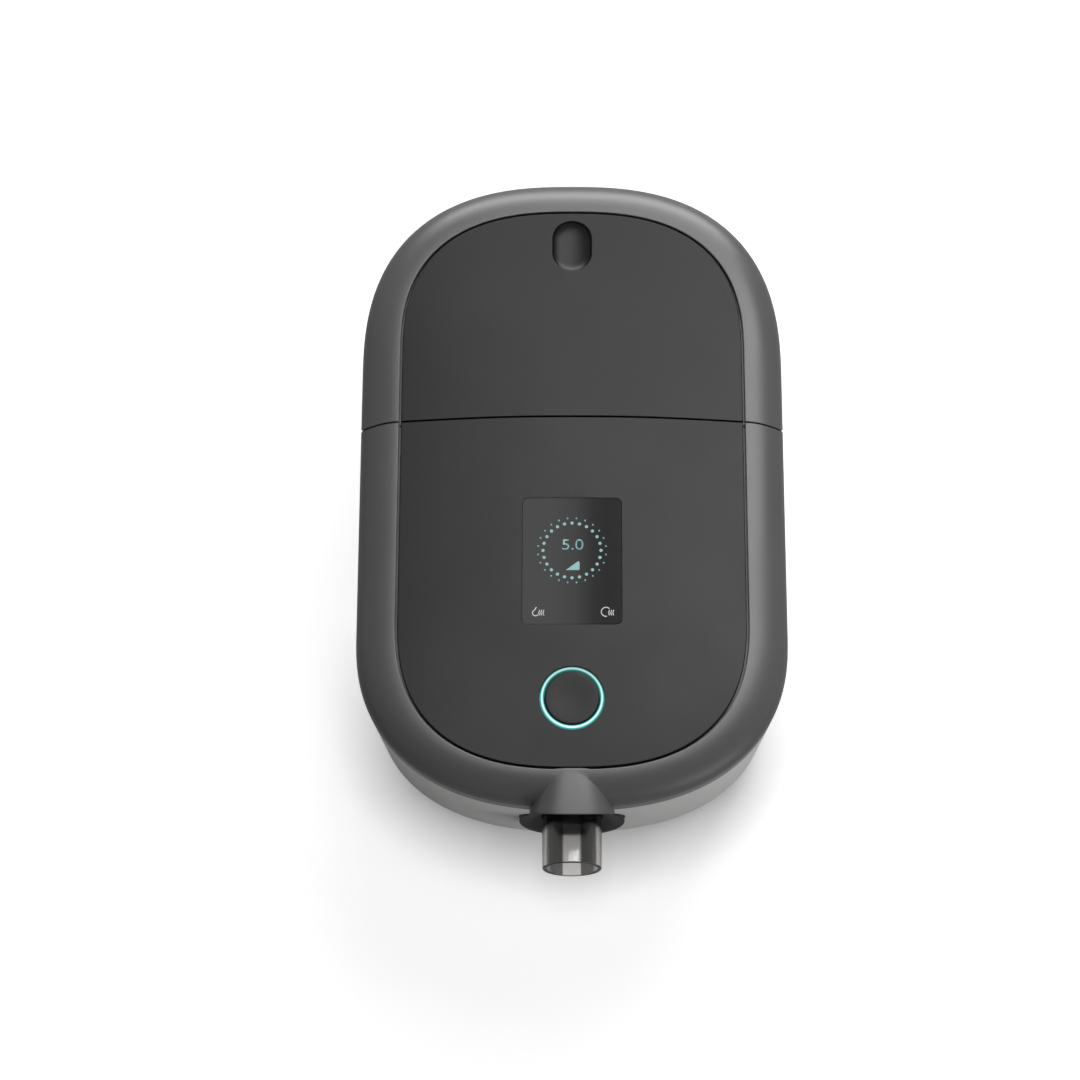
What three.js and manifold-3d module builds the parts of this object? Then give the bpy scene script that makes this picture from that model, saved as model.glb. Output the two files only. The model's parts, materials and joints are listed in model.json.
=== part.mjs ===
// A bedside breathing-therapy machine: rounded housing, hinged lid over a water tank, touch display,
// lit round button and a tapered air outlet. Millimetres, +Z up, front towards -Y.
// The origin is the middle of the machine's outline, at the level its feet stand on.
import * as THREE from 'three';
import { mergeVertices } from 'three/addons/utils/BufferGeometryUtils.js';
import Module from 'manifold-3d';

const wasm = await Module();
wasm.setup();

// Clearances and facet counts
const gap = 0.3;
const seam = 0.7;
const overrun = 6;
const weldDistance = 0.0001;
const outlinePoints = 60;
const innerPoints = 28;
const coarseSides = 12;
const roundSides = 18;
const fineSides = 32;
const shoulderSteps = 6;
const innerShoulderSteps = 3;
const hoodSteps = 18;
const hoodShoulderSteps = 9;
const roundSteps = 2;
const cornerSteps = 4;
const hingeSteps = 28;
const troughSteps = 12;
const ballSteps = 10;
const domeShares = [0.72, 0.4];

// The housing's outer form
const housing = {
  width: 158,
  length: 247,
  crownZ: 86,
  widestZ: 74,
  undersideZ: 3,
  rearCap: 79,
  rearSquareness: 2.55,
  frontCap: 64,
  frontSquareness: 2.35,
  sideTaper: 4.4,
  endTaper: 9.3,
  bottomRound: 5,
  shoulderFullness: 1.85,
  wall: 2.4,
  floor: 2.5,
};

// The inset panel that fills the top inside the shoulder
const panel = {
  sideMargin: 15,
  endMargin: 13.7,
  edgeZ: 83.5,
  forward: 1.4,
  cap: 57.7,
  squareness: 2.57,
  ledgeWidth: 5,
  ledgeThickness: 2,
  webWidth: 3,
};

// The lid turns about a pin behind the cross seam, and its front edge is a cylinder about that pin
const hinge = {
  lidLengthShare: 0.36235,
  z: 78.8,
  radius: 12.2,
  pinRadius: 1.5,
  bossRadius: 2.7,
  lugInset: 12,
  lugWidth: 6,
  bracketSpacing: 7,
  bracketWidth: 6,
  footLength: 13,
  footThickness: 2,
  cowlThickness: 2,
  cowlTopAngle: 175,
  cowlEndAngle: 236,
};

// Air outlet at the front
const outlet = {
  z: 44,
  endRadius: 10.85,
  rootRadius: 11.1,
  boreRadius: 9.3,
  reach: 15,
  flangeRadius: 13.5,
  flangeThickness: 3,
  collarRadius: 19.4,
  collarSetback: 2.8,
  collarDepth: 9,
  collarRecessInner: 13,
  collarRecessOuter: 16,
  collarRecessDepth: 2,
  sealThickness: 2,
  ductRadius: 10.8,
  ductWall: 1.5,
};

// Arched bulge on the front shoulder, over the outlet
const hood = {
  halfWidth: 15.9,
  springZ: 70,
  height: 13.4,
  squareness: 2.4,
  shoulderFullness: 3.4,
};

// Display and its stack, from the glass down to the board
const display = {
  placeShare: 0.4208,
  width: 36.3,
  length: 48.6,
  corner: 2.4,
  glassThickness: 1.6,
  moduleMargin: 2,
  moduleThickness: 3.4,
  frameWall: 2,
};

// Therapy button and its light ring
const button = {
  frontMargin: 26,
  radius: 9.9,
  thickness: 2.2,
  travel: 0.8,
  stemRadius: 3,
  stemLength: 1.2,
  ringRadius: 11.55,
  ringFlange: 14,
  ringFlangeThickness: 1.4,
  switchRadius: 3.2,
};

// Main board, hung from four bosses under the front cover
const board = {
  sideMargin: 8,
  frontMargin: 13.7,
  rearMargin: 12.6,
  thickness: 1.6,
  topZ: 75.6,
  bossRadius: 3.5,
  bossSideInset: 4,
  bossEndInset: 6,
  bossReach: 9,
};

// Thumb recess near the back of the lid
const recess = {
  width: 15.5,
  length: 21.6,
  depth: 3,
  rearMargin: 3.3,
};

// Tray under the lid that carries the hinge lugs and the tank seal
const liner = {
  hingeSetback: 10,
  rearInset: 24,
  sideMargin: 8,
  bottomZ: 72,
  plate: 2,
  armHeight: 5,
  corner: 14,
};

const latch = {
  width: 14,
  thickness: 2.4,
  rearInset: 9.5,
  bottomZ: 60.5,
  slotMargin: 1.6,
  hookReach: 1.2,
  hookHeight: 1.6,
};

// Tub that holds the tank, with its deck
const bay = {
  deckTopZ: 64,
  deckThickness: 2,
  wall: 2,
  sideClearance: 1.2,
  openingInset: 9,
  hingeSetback: 13,
  bulkheadLead: 13.5,
  floorZ: 6,
};

const heater = {
  radius: 24,
  thickness: 2.4,
  topZ: 11.6,
};

const tank = {
  inset: 10.5,
  wall: 2,
  bottomZ: 14.2,
  rimZ: 59.5,
  lidThickness: 3,
  lidLip: 0.8,
  sealThickness: 1.4,
  collarOuter: 21,
  collarInner: 16.5,
  collarTopZ: 69.2,
  sealOuter: 23,
  gripWidth: 44,
  gripLength: 5,
  gripMargin: 3.5,
  gripHeight: 3.4,
};

// Chassis tray on the floor of the front half
const tray = {
  inset: 6.5,
  rearClearance: 3,
  thickness: 2,
  bossRadius: 4.2,
  bossHeight: 8,
};

const foot = {
  radius: 7,
  sideMargin: 29,
  frontMargin: 50,
  rearMargin: 39,
  recessDepth: 1.2,
};

const screw = {
  sideMargin: 23,
  footSpacing: 14,
  rearSetback: 17,
  headRadius: 3,
  headHeight: 1.6,
  shankRadius: 1.4,
  length: 9,
};

// Filter opening and its flap in the left wall
const filter = {
  length: 52,
  rearSetback: 6,
  bottomZ: 17,
  topZ: 50,
  doorThickness: 2.4,
  pinRadius: 0.8,
  pinLength: 1.6,
  slotCount: 6,
  slotHeight: 2.2,
  slotMargin: 6,
  foamThickness: 6,
  cassetteWall: 1.6,
  cassetteDepth: 10,
};

// Memory card and its reader in the right wall
const card = {
  rearSetback: 19,
  z: 40,
  width: 24,
  length: 32,
  thickness: 2.1,
  readerWall: 1.4,
  readerLength: 30,
};

// Two-pin mains inlet in the right wall
const inlet = {
  rearSetback: 58,
  z: 24,
  faceWidth: 21,
  faceHeight: 14,
  bodyWidth: 27,
  bodyHeight: 19,
  bodyDepth: 20,
  socketWidth: 16,
  socketHeight: 9,
  socketCorner: 4.2,
  socketDepth: 14,
  pinRadius: 1.2,
  pinSpacing: 8.6,
  pinReach: 11,
};

const supply = {
  sideMargin: 44,
  rearSetback: 66,
  width: 36,
  length: 44,
  thickness: 1.6,
  standoff: 3,
  standoffRadius: 2.5,
  coreWidth: 24,
  coreLength: 22,
  coreHeight: 16,
  capRadius: 7,
  capHeight: 20,
  partInset: 2,
};

// Blower, standing on a soft mount on the tray
const blower = {
  ductClearance: 1.2,
  filterClearance: 6.6,
  rearClearance: 14,
  wall: 2,
  mountHeight: 3,
  mountWidth: 10,
  lowerHeight: 17,
  upperHeight: 4,
  inletRadius: 11,
  impellerClearance: 5,
  impellerThickness: 1.6,
  hubRadius: 5,
  bladeCount: 9,
  bladeHeight: 7,
  bladeThickness: 1.2,
  shaftRadius: 1.5,
  canRadius: 14,
  canHeight: 13,
  canWall: 1.8,
  magnetRadius: 8,
  bearingRadius: 4.5,
  bearingThickness: 3,
  nozzleWidth: 14,
};

// Values that follow from the sizes above
const rearY = (housing.length + outlet.reach) / 2;
const centreY = rearY - housing.length / 2;
const frontY = centreY - housing.length / 2;
const panelY = centreY - panel.forward;
const panelHalfWidth = housing.width / 2 - panel.sideMargin;
const panelHalfLength = housing.length / 2 - panel.endMargin;
const hingeY = rearY - housing.length * hinge.lidLengthShare;
const troughRadius = hinge.radius + seam + hinge.cowlThickness;
const partingZ = hinge.z - hinge.radius;
const baseTopZ = partingZ - seam;
const coverBottomZ = baseTopZ + gap;
const panelUndersideZ = panel.edgeZ - housing.wall;
const ledgeTopZ = panelUndersideZ - gap;
const ledgeBottomZ = ledgeTopZ - panel.ledgeThickness;
const collarFaceY = frontY + outlet.collarSetback;
const outletEndY = frontY - outlet.reach;
const innerFloorZ = housing.undersideZ + housing.floor;
const boardBottomZ = board.topZ - board.thickness;
const outsideZ = housing.crownZ + overrun;

// Places along the machine, from the panel's front edge, the hinge and the bulkhead
const buttonY = panelY - panelHalfLength + button.frontMargin;
const displayY = mix(buttonY + button.ringFlange, hingeY - troughRadius, display.placeShare);
const bulkheadY = hingeY - bay.bulkheadLead;
const bayFrontY = hingeY + bay.hingeSetback;
const linerFrontY = hingeY + liner.hingeSetback;
const footYs = [frontY + foot.frontMargin, rearY - foot.rearMargin];
const screwYs = [footYs[0] - screw.footSpacing, bulkheadY + screw.rearSetback];
const filterRearY = bulkheadY - filter.rearSetback;
const filterFrontY = filterRearY - filter.length;
const cardY = bulkheadY - card.rearSetback;
const inletY = bulkheadY - inlet.rearSetback;
const supplyY = bulkheadY - supply.rearSetback;

// Places across the machine
const linerHalfWidth = panelHalfWidth - liner.sideMargin;
const lugX = linerHalfWidth - hinge.lugInset;
const bracketX = lugX - hinge.bracketSpacing;
const screwX = housing.width / 2 - screw.sideMargin;
const footX = housing.width / 2 - foot.sideMargin;
const supplyX = housing.width / 2 - supply.sideMargin;
const blowerX = -(outlet.ductRadius + blower.canRadius + blower.ductClearance);

// Main board, between the panel's front edge and the hinge trough
const boardHalfWidth = panelHalfWidth - board.sideMargin;
const boardFrontY = panelY - panelHalfLength + board.frontMargin;
const boardRearY = hingeY - troughRadius - board.rearMargin;

// Closed three.js geometry to a solid for joining and cutting
function solid(geometry) {
  const bare = geometry.clone();
  bare.deleteAttribute('normal');
  bare.deleteAttribute('uv');
  bare.clearGroups();
  const merged = mergeVertices(bare, weldDistance);
  return new wasm.Manifold(new wasm.Mesh({
    numProp: 3,
    vertProperties: merged.attributes.position.array,
    triVerts: new Uint32Array(merged.index.array),
  }));
}

// A solid back to a geometry that three.js can draw
function geometryOf(body) {
  const mesh = body.getMesh();
  const positions = new Float32Array(mesh.numVert * 3);
  for (let i = 0; i < mesh.numVert; i++) {
    const start = i * mesh.numProp;
    positions.set(mesh.vertProperties.subarray(start, start + 3), i * 3);
  }
  const geometry = new THREE.BufferGeometry();
  geometry.setAttribute('position', new THREE.BufferAttribute(positions, 3));
  geometry.setIndex(new THREE.BufferAttribute(new Uint32Array(mesh.triVerts), 1));
  geometry.computeVertexNormals();
  return geometry;
}

function joined(...bodies) {
  return bodies.reduce((sum, body) => sum.add(body));
}

function cut(body, ...tools) {
  return tools.reduce((left, tool) => left.subtract(tool), body);
}

// Box from its lowest and highest corners
function boxGeometry(low, high) {
  const size = high.map((value, axis) => value - low[axis]);
  const geometry = new THREE.BoxGeometry(...size);
  geometry.translate(...low.map((value, axis) => value + size[axis] / 2));
  return geometry;
}

function box(low, high) {
  return solid(boxGeometry(low, high));
}

// Upright cylinder from z0 to z1
function post(radius, x, y, z0, z1, sides = roundSides) {
  const geometry = new THREE.CylinderGeometry(radius, radius, z1 - z0, sides);
  geometry.rotateX(Math.PI / 2);
  geometry.translate(x, y, (z0 + z1) / 2);
  return solid(geometry);
}

// Cylinder along Y from y0 to y1
function bar(radius, x, z, y0, y1, sides = roundSides) {
  const geometry = new THREE.CylinderGeometry(radius, radius, y1 - y0, sides);
  geometry.translate(x, (y0 + y1) / 2, z);
  return solid(geometry);
}

// Cylinder along X from x0 to x1
function axle(radius, y, z, x0, x1, sides = roundSides) {
  const geometry = new THREE.CylinderGeometry(radius, radius, x1 - x0, sides);
  geometry.rotateZ(Math.PI / 2);
  geometry.translate((x0 + x1) / 2, y, z);
  return solid(geometry);
}

// Body turned from a closed profile of [radius, height] pairs, its axis along +Y
function turnedGeometry(profile, sides = roundSides) {
  const points = profile.map(([radius, height]) => new THREE.Vector2(radius, height));
  points.push(points[0].clone());
  return new THREE.LatheGeometry(points, sides);
}

// The same, standing upright
function standingGeometry(profile, sides = roundSides) {
  const geometry = turnedGeometry(profile, sides);
  geometry.rotateX(Math.PI / 2);
  return geometry;
}

// Closed profile of a plain ring
function ringProfile(inner, outer, low, high) {
  return [[inner, low], [outer, low], [outer, high], [inner, high]];
}

// Rounded rectangle about a centre, as a three.js shape
function roundedShape(width, length, corner) {
  const x = width / 2;
  const y = length / 2;
  const shape = new THREE.Shape();
  shape.moveTo(-x + corner, -y);
  shape.lineTo(x - corner, -y);
  shape.absarc(x - corner, -y + corner, corner, -Math.PI / 2, 0);
  shape.lineTo(x, y - corner);
  shape.absarc(x - corner, y - corner, corner, 0, Math.PI / 2);
  shape.lineTo(-x + corner, y);
  shape.absarc(-x + corner, y - corner, corner, Math.PI / 2, Math.PI);
  shape.lineTo(-x, -y + corner);
  shape.absarc(-x + corner, -y + corner, corner, Math.PI, 1.5 * Math.PI);
  return shape;
}

function raised(shape, z0, z1, curveSegments = cornerSteps) {
  const geometry = new THREE.ExtrudeGeometry(shape, { depth: z1 - z0, bevelEnabled: false, curveSegments });
  geometry.translate(0, 0, z0);
  return geometry;
}

// Points of a straight-sided oval with superellipse ends, anticlockwise seen from above
function outline(form, count = outlinePoints) {
  const ends = [
    { sign: 1, cap: form.rearCap, power: 2 / form.rearSquareness },
    { sign: -1, cap: form.frontCap, power: 2 / form.frontSquareness },
  ];
  const steps = count / 2;
  const points = [];
  for (const { sign, cap, power } of ends) {
    for (let i = 0; i <= steps; i++) {
      const angle = (Math.PI * i) / steps;
      const c = sign * Math.cos(angle);
      const x = form.halfWidth * Math.sign(c) * Math.abs(c) ** power;
      const y = sign * (form.halfLength - cap + cap * Math.abs(Math.sin(angle)) ** power);
      points.push([x, form.y + y]);
    }
  }
  return points;
}

// The same outline with every side moved in
function offsetForm(form, inset) {
  return {
    ...form,
    halfWidth: form.halfWidth - inset,
    halfLength: form.halfLength - inset,
    rearCap: form.rearCap - inset,
    frontCap: form.frontCap - inset,
  };
}

// The same outline shrunk about its middle
function scaledForm(form, share) {
  return {
    ...form,
    halfWidth: form.halfWidth * share,
    halfLength: form.halfLength * share,
    rearCap: form.rearCap * share,
    frontCap: form.frontCap * share,
  };
}

const widestForm = {
  halfWidth: housing.width / 2,
  halfLength: housing.length / 2,
  rearCap: housing.rearCap,
  rearSquareness: housing.rearSquareness,
  frontCap: housing.frontCap,
  frontSquareness: housing.frontSquareness,
  y: centreY,
};

const panelForm = {
  halfWidth: panelHalfWidth,
  halfLength: panelHalfLength,
  rearCap: panel.cap,
  rearSquareness: panel.squareness,
  frontCap: panel.cap,
  frontSquareness: panel.squareness,
  y: panelY,
};

// Outline of the tapered wall at height z, drawn in by inset
function wallForm(z, inset = 0) {
  const share = (housing.widestZ - z) / (housing.widestZ - housing.undersideZ);
  const drawnIn = offsetForm(widestForm, inset + housing.endTaper * share);
  drawnIn.halfWidth += (housing.endTaper - housing.sideTaper) * share;
  return drawnIn;
}

function mix(a, b, share) {
  return a + (b - a) * share;
}

// Outline part of the way over the shoulder: 0 at the widest line and 1 at the panel's edge
function shoulderForm(share, inset = 0) {
  const entries = Object.keys(widestForm).map((key) => [key, mix(widestForm[key], panelForm[key], share)]);
  return offsetForm(Object.fromEntries(entries), inset);
}

// Solid through a stack of outlines, each { form, z }
function loft(levels, outlineCount = outlinePoints) {
  const positions = [];
  const index = [];
  const count = outlineCount + 2;
  for (const { form, z } of levels) {
    for (const [x, y] of outline(form, outlineCount)) positions.push(x, y, z);
  }
  for (let level = 0; level + 1 < levels.length; level++) {
    for (let i = 0; i < count; i++) {
      const a = level * count + i;
      const b = level * count + ((i + 1) % count);
      index.push(a, b, b + count, a, b + count, a + count);
    }
  }
  const bottom = levels.length * count;
  const top = bottom + 1;
  positions.push(0, levels[0].form.y, levels[0].z);
  positions.push(0, levels.at(-1).form.y, levels.at(-1).peakZ ?? levels.at(-1).z);
  for (let i = 0; i < count; i++) {
    const j = (i + 1) % count;
    const last = bottom - count;
    index.push(bottom, j, i, top, last + i, last + j);
  }
  const geometry = new THREE.BufferGeometry();
  geometry.setAttribute('position', new THREE.BufferAttribute(new Float32Array(positions), 3));
  geometry.setIndex(index);
  return geometry;
}

// Upright prism of an outline
function prism(form, z0, z1, count = outlinePoints) {
  return solid(loft([{ form, z: z0 }, { form, z: z1 }], count));
}

// The whole outer form, or the hollow inside it when inset is a wall thickness
function housingForm(inset, floor, count, shoulderSteps, fullness = housing.shoulderFullness) {
  const levels = [];
  const bottomZ = housing.undersideZ + floor;
  const round = housing.bottomRound - inset;
  for (let step = 0; step <= roundSteps; step++) {
    const angle = (Math.PI / 2) * (step / roundSteps);
    const z = bottomZ + round * (1 - Math.cos(angle));
    levels.push({ form: wallForm(z, inset + round * (1 - Math.sin(angle))), z });
  }
  levels.push({ form: wallForm(partingZ, inset), z: partingZ });
  const power = 2 / fullness;
  const rise = panel.edgeZ - inset - housing.widestZ;
  for (let step = 0; step <= shoulderSteps; step++) {
    const angle = (Math.PI / 2) * (step / shoulderSteps);
    const share = 1 - Math.cos(angle) ** power;
    levels.push({ form: shoulderForm(share, inset), z: housing.widestZ + rise * Math.sin(angle) ** power });
  }
  const domeRise = housing.crownZ - panel.edgeZ;
  const edgeForm = shoulderForm(1, inset);
  for (const share of domeShares) {
    levels.push({ form: scaledForm(edgeForm, share), z: housing.crownZ - inset - domeRise * share ** 2 });
  }
  levels.at(-1).peakZ = housing.crownZ - inset;
  return solid(loft(levels, count));
}

// Height of the domed top above a point on the middle line
function topZ(y) {
  const share = Math.abs(y - panelY) / panelForm.halfLength;
  return housing.crownZ - (housing.crownZ - panel.edgeZ) * share ** 2;
}

// Half width inside the housing's side wall at height z, less a clearance
function sideX(z, inset = 0) {
  return wallForm(z, inset).halfWidth;
}

// Everything that turns with the lid: behind the hinge, and within a radius of its pin
function lidRegion(radius, bottomZ) {
  const shape = new THREE.Shape();
  shape.moveTo(rearY + overrun, bottomZ);
  shape.lineTo(rearY + overrun, outsideZ);
  shape.lineTo(hingeY, outsideZ);
  shape.absarc(hingeY, hinge.z, radius, Math.PI / 2, 1.5 * Math.PI);
  shape.lineTo(hingeY, bottomZ);
  const width = housing.width + overrun;
  const options = { depth: width, bevelEnabled: false, curveSegments: hingeSteps };
  const geometry = new THREE.ExtrudeGeometry(shape, options);
  geometry.rotateY(Math.PI / 2);
  geometry.rotateX(Math.PI / 2);
  geometry.translate(-width / 2, 0, 0);
  return solid(geometry);
}

// Curved trough wall in front of the hinge
function cowl() {
  const inner = hinge.radius + seam;
  const outer = inner + hinge.cowlThickness;
  const start = THREE.MathUtils.degToRad(hinge.cowlTopAngle);
  const end = THREE.MathUtils.degToRad(hinge.cowlEndAngle);
  const shape = new THREE.Shape();
  shape.absarc(hingeY, hinge.z, outer, start, end);
  shape.absarc(hingeY, hinge.z, inner, end, start, true);
  const width = housing.width - housing.wall;
  const options = { depth: width, bevelEnabled: false, curveSegments: troughSteps };
  const geometry = new THREE.ExtrudeGeometry(shape, options);
  geometry.rotateY(Math.PI / 2);
  geometry.rotateX(Math.PI / 2);
  geometry.translate(-width / 2, 0, 0);
  return solid(geometry);
}

// Materials, one for each finish
function finish(color, roughness, metalness = 0, extra = {}) {
  return new THREE.MeshStandardMaterial({ color, roughness, metalness, ...extra });
}

const finishes = {
  charcoal: finish(0x4a4a4b, 0.42),
  panelBlack: finish(0x3c3c3d, 0.36),
  warmGrey: finish(0x9b9a97, 0.5),
  innerGrey: finish(0x55575a, 0.55),
  smokyClear: finish(0x6f6a66, 0.12, 0, { transparent: true, opacity: 0.5 }),
  tankClear: finish(0xb9c2c7, 0.1, 0, { transparent: true, opacity: 0.4 }),
  darkRubber: finish(0x232425, 0.8),
  softSeal: finish(0x9fb3bd, 0.7),
  glass: finish(0x2a2a2c, 0.08),
  screen: finish(0x1d1e20, 0.4),
  lightRing: finish(0x8ff0dd, 0.3, 0, { emissive: 0x2fb8a4 }),
  circuitGreen: finish(0x1f5b3c, 0.6),
  steel: finish(0xa9abad, 0.3, 1),
  aluminium: finish(0xc4c6c8, 0.35, 1),
  foam: finish(0x8fa6b8, 0.95),
  whiteNylon: finish(0xe4e4e0, 0.5),
  blackPlastic: finish(0x242526, 0.5),
};

const machine = new THREE.Group();

// Adds one named piece to a group
function piece(name, shape, material, place = [0, 0, 0], group = machine) {
  const geometry = shape.isBufferGeometry ? shape : geometryOf(shape);
  const mesh = new THREE.Mesh(geometry, material.clone());
  mesh.name = name;
  mesh.position.set(...place);
  group.add(mesh);
  return mesh;
}

// Outer shell, before it is split into covers
const outerForm = housingForm(0, 0, outlinePoints, shoulderSteps);
const hollow = housingForm(housing.wall, housing.floor, innerPoints, innerShoulderSteps);
const outerShell = outerForm.subtract(hollow);
const cap = outerShell.intersect(box(
  [-housing.width, frontY - overrun, partingZ],
  [housing.width, rearY + overrun, outsideZ],
));
const panelCut = prism(offsetForm(panelForm, -seam / 2), panelUndersideZ - overrun / 2, outsideZ);
const panelBlank = cap.intersect(prism(offsetForm(panelForm, seam / 2), ledgeTopZ, outsideZ));

// Ledge under the panel's edge, on a web let into the shoulder
const ledgeForm = offsetForm(panelForm, -panel.webWidth - seam);
const ledgeHoleForm = offsetForm(panelForm, panel.ledgeWidth);
const ledgeOuter = prism(ledgeForm, ledgeBottomZ, ledgeTopZ, innerPoints);
const ledgeInner = prism(ledgeHoleForm, ledgeBottomZ - overrun, ledgeTopZ + overrun, innerPoints);
const webOuter = prism(ledgeForm, ledgeBottomZ, panelUndersideZ + seam, innerPoints);
const webInner = prism(offsetForm(panelForm, -seam), ledgeBottomZ - overrun, outsideZ);
const ledge = joined(cut(ledgeOuter, ledgeInner), cut(webOuter, webInner));
const rim = joined(cap.subtract(panelCut), ledge);

// The blower fits between the filter cassette and the duct, in front of the bulkhead
const cassetteX = gap - sideX(filter.bottomZ - filter.cassetteWall * 2, housing.wall);
const blowerRadius = blowerX - blower.filterClearance - cassetteX - filter.cassetteDepth;
const blowerY = bulkheadY - blower.rearClearance - blowerRadius;
const impellerRadius = blowerRadius - blower.impellerClearance;

// Outline of the water tank, and the heater under its middle
const tankForm = (z) => wallForm(z, housing.wall + tank.inset);
const tankFrontY = bayFrontY + tank.inset - bay.openingInset;
const tankRearY = centreY + tankForm(tank.rimZ).halfLength;
const heaterY = (tankFrontY + tankRearY) / 2;

// Arched bulge over the outlet, rounded over at the front like the shoulder
function hoodBody() {
  const power = 2 / hood.squareness;
  const shape = new THREE.Shape();
  shape.moveTo(-hood.halfWidth, coverBottomZ);
  shape.lineTo(hood.halfWidth, coverBottomZ);
  for (let i = 0; i <= hoodSteps; i++) {
    const angle = (Math.PI * i) / hoodSteps;
    const c = Math.cos(angle);
    shape.lineTo(
      hood.halfWidth * Math.sign(c) * Math.abs(c) ** power,
      hood.springZ + hood.height * Math.sin(angle) ** power,
    );
  }
  const panelFrontY = panelY - panelForm.halfLength - seam / 2;
  const depth = panelFrontY - frontY + overrun;
  const geometry = new THREE.ExtrudeGeometry(shape, { depth, bevelEnabled: false });
  geometry.rotateX(Math.PI / 2);
  geometry.translate(0, panelFrontY, 0);
  const fullForm = housingForm(0, 0, outlinePoints, hoodShoulderSteps, hood.shoulderFullness);
  return cut(solid(geometry).intersect(fullForm), hollow);
}

// Front cover: shoulder, hood over the outlet, hinge cowl and board bosses
function frontCover() {
  const extension = outerShell.intersect(box(
    [-housing.width, frontY - overrun, coverBottomZ],
    [housing.width, hingeY - hinge.radius / 2, partingZ],
  ));
  const bosses = [];
  for (const side of [-1, 1]) {
    const x = side * (boardHalfWidth - board.bossSideInset);
    const end = x + side * board.bossReach;
    for (const y of [boardFrontY + board.bossEndInset, boardRearY - board.bossEndInset]) {
      const reach = box(
        [Math.min(x, end), y - board.bossRadius, board.topZ + gap],
        [Math.max(x, end), y + board.bossRadius, ledgeTopZ],
      );
      bosses.push(post(board.bossRadius, x, y, board.topZ + gap, ledgeTopZ), reach);
    }
  }
  const trough = cowl().intersect(housingForm(housing.wall / 2, 0, outlinePoints, shoulderSteps));
  const rearCut = lidRegion(hinge.radius + seam, partingZ - overrun);
  const front = rim.intersect(box(
    [-housing.width, frontY - overrun, partingZ - overrun],
    [housing.width, hingeY, outsideZ],
  ));
  return joined(cut(joined(front, extension, hoodBody(), ...bosses), rearCut), trough);
}

const lidTool = lidRegion(hinge.radius, partingZ - overrun);
const lidClearance = lidRegion(hinge.radius + seam, partingZ - overrun);
const frontPanelBlank = panelBlank.subtract(lidClearance);

// Front panel with its openings for the display and the button's ring
function frontPanel() {
  const window = solid(raised(
    roundedShape(display.width + 2 * gap, display.length + 2 * gap, display.corner),
    panelUndersideZ - overrun, outsideZ,
  ).translate(0, displayY, 0));
  const ringHole = post(button.ringRadius + gap, 0, buttonY, panelUndersideZ - overrun, outsideZ, fineSides);
  return cut(frontPanelBlank, window, ringHole);
}

// Thumb recess: a trough with round ends, let into the lid panel
const recessY = panelY + panelForm.halfLength - recess.rearMargin - recess.length / 2;

function recessBody(grow, drop) {
  const radius = recess.width / 2 + grow;
  const run = recess.length / 2 - recess.width / 2;
  const flatten = (recess.depth + grow) / radius;
  const parts = [];
  for (const side of [-1, 1]) {
    const ball = new THREE.SphereGeometry(radius, roundSides, ballSteps);
    ball.scale(1, 1, flatten);
    ball.translate(0, recessY + side * run, topZ(recessY) - drop);
    parts.push(solid(ball));
  }
  const trough = new THREE.CylinderGeometry(radius, radius, 2 * run, roundSides);
  trough.scale(1, 1, flatten);
  trough.translate(0, recessY, topZ(recessY) - drop);
  return joined(solid(trough), ...parts);
}

function lidPanel() {
  const blank = panelBlank.intersect(lidTool);
  const backing = recessBody(housing.wall / 2, 0).intersect(
    prism(offsetForm(panelForm, panel.ledgeWidth + gap), 0, panel.edgeZ, innerPoints),
  );
  return cut(joined(blank, backing), recessBody(0, 0));
}

piece('front_cover', frontCover(), finishes.charcoal);
piece('front_panel', frontPanel(), finishes.panelBlack);

// Lid: frame, panel, liner with hinge lugs, latch hook and tank seal
const lid = new THREE.Group();
machine.add(lid);
piece('lid_frame', rim.intersect(lidTool), finishes.charcoal, [0, 0, 0], lid);
piece('lid_panel', lidPanel(), finishes.panelBlack, [0, 0, 0], lid);

function lidLiner() {
  const rear = rearY - liner.rearInset;
  const middle = (linerFrontY + rear) / 2;
  const topEdge = ledgeBottomZ - gap;
  const length = rear - linerFrontY;
  const outer = solid(raised(
    roundedShape(2 * linerHalfWidth, length, liner.corner), liner.bottomZ, topEdge,
  ).translate(0, middle, 0));
  const hollowed = solid(raised(
    roundedShape(2 * (linerHalfWidth - liner.plate), length - 2 * liner.plate, liner.corner - liner.plate),
    liner.bottomZ + liner.plate, topEdge + overrun,
  ).translate(0, middle, 0));
  const lugs = [];
  for (const side of [-1, 1]) {
    const inner = side * lugX - hinge.lugWidth / 2;
    const outerX = side * lugX + hinge.lugWidth / 2;
    lugs.push(axle(hinge.bossRadius, hingeY, hinge.z, inner, outerX));
    lugs.push(box(
      [inner, hingeY, hinge.z - hinge.bossRadius],
      [outerX, linerFrontY + liner.plate, hinge.z - hinge.bossRadius + liner.armHeight],
    ));
  }
  const pinHole = axle(hinge.pinRadius + gap, hingeY, hinge.z, -housing.width / 2, housing.width / 2);
  const vent = post(tank.collarInner, 0, heaterY, 0, liner.bottomZ + liner.plate + overrun, fineSides);
  const brimWidth = 2 * panelForm.halfWidth - panel.ledgeWidth;
  const brim = solid(raised(
    roundedShape(brimWidth, length, liner.corner), topEdge - liner.plate, topEdge,
  ).translate(0, middle, 0));
  return cut(joined(cut(joined(outer, brim), hollowed), ...lugs), pinHole, vent);
}

piece('lid_liner', lidLiner(), finishes.innerGrey, [0, 0, 0], lid);
piece('lid_seal', standingGeometry(
  ringProfile(tank.collarInner, tank.sealOuter, tank.collarTopZ + gap, liner.bottomZ - gap), fineSides,
), finishes.softSeal, [0, heaterY, 0], lid);

const latchY = rearY - latch.rearInset;

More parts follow.
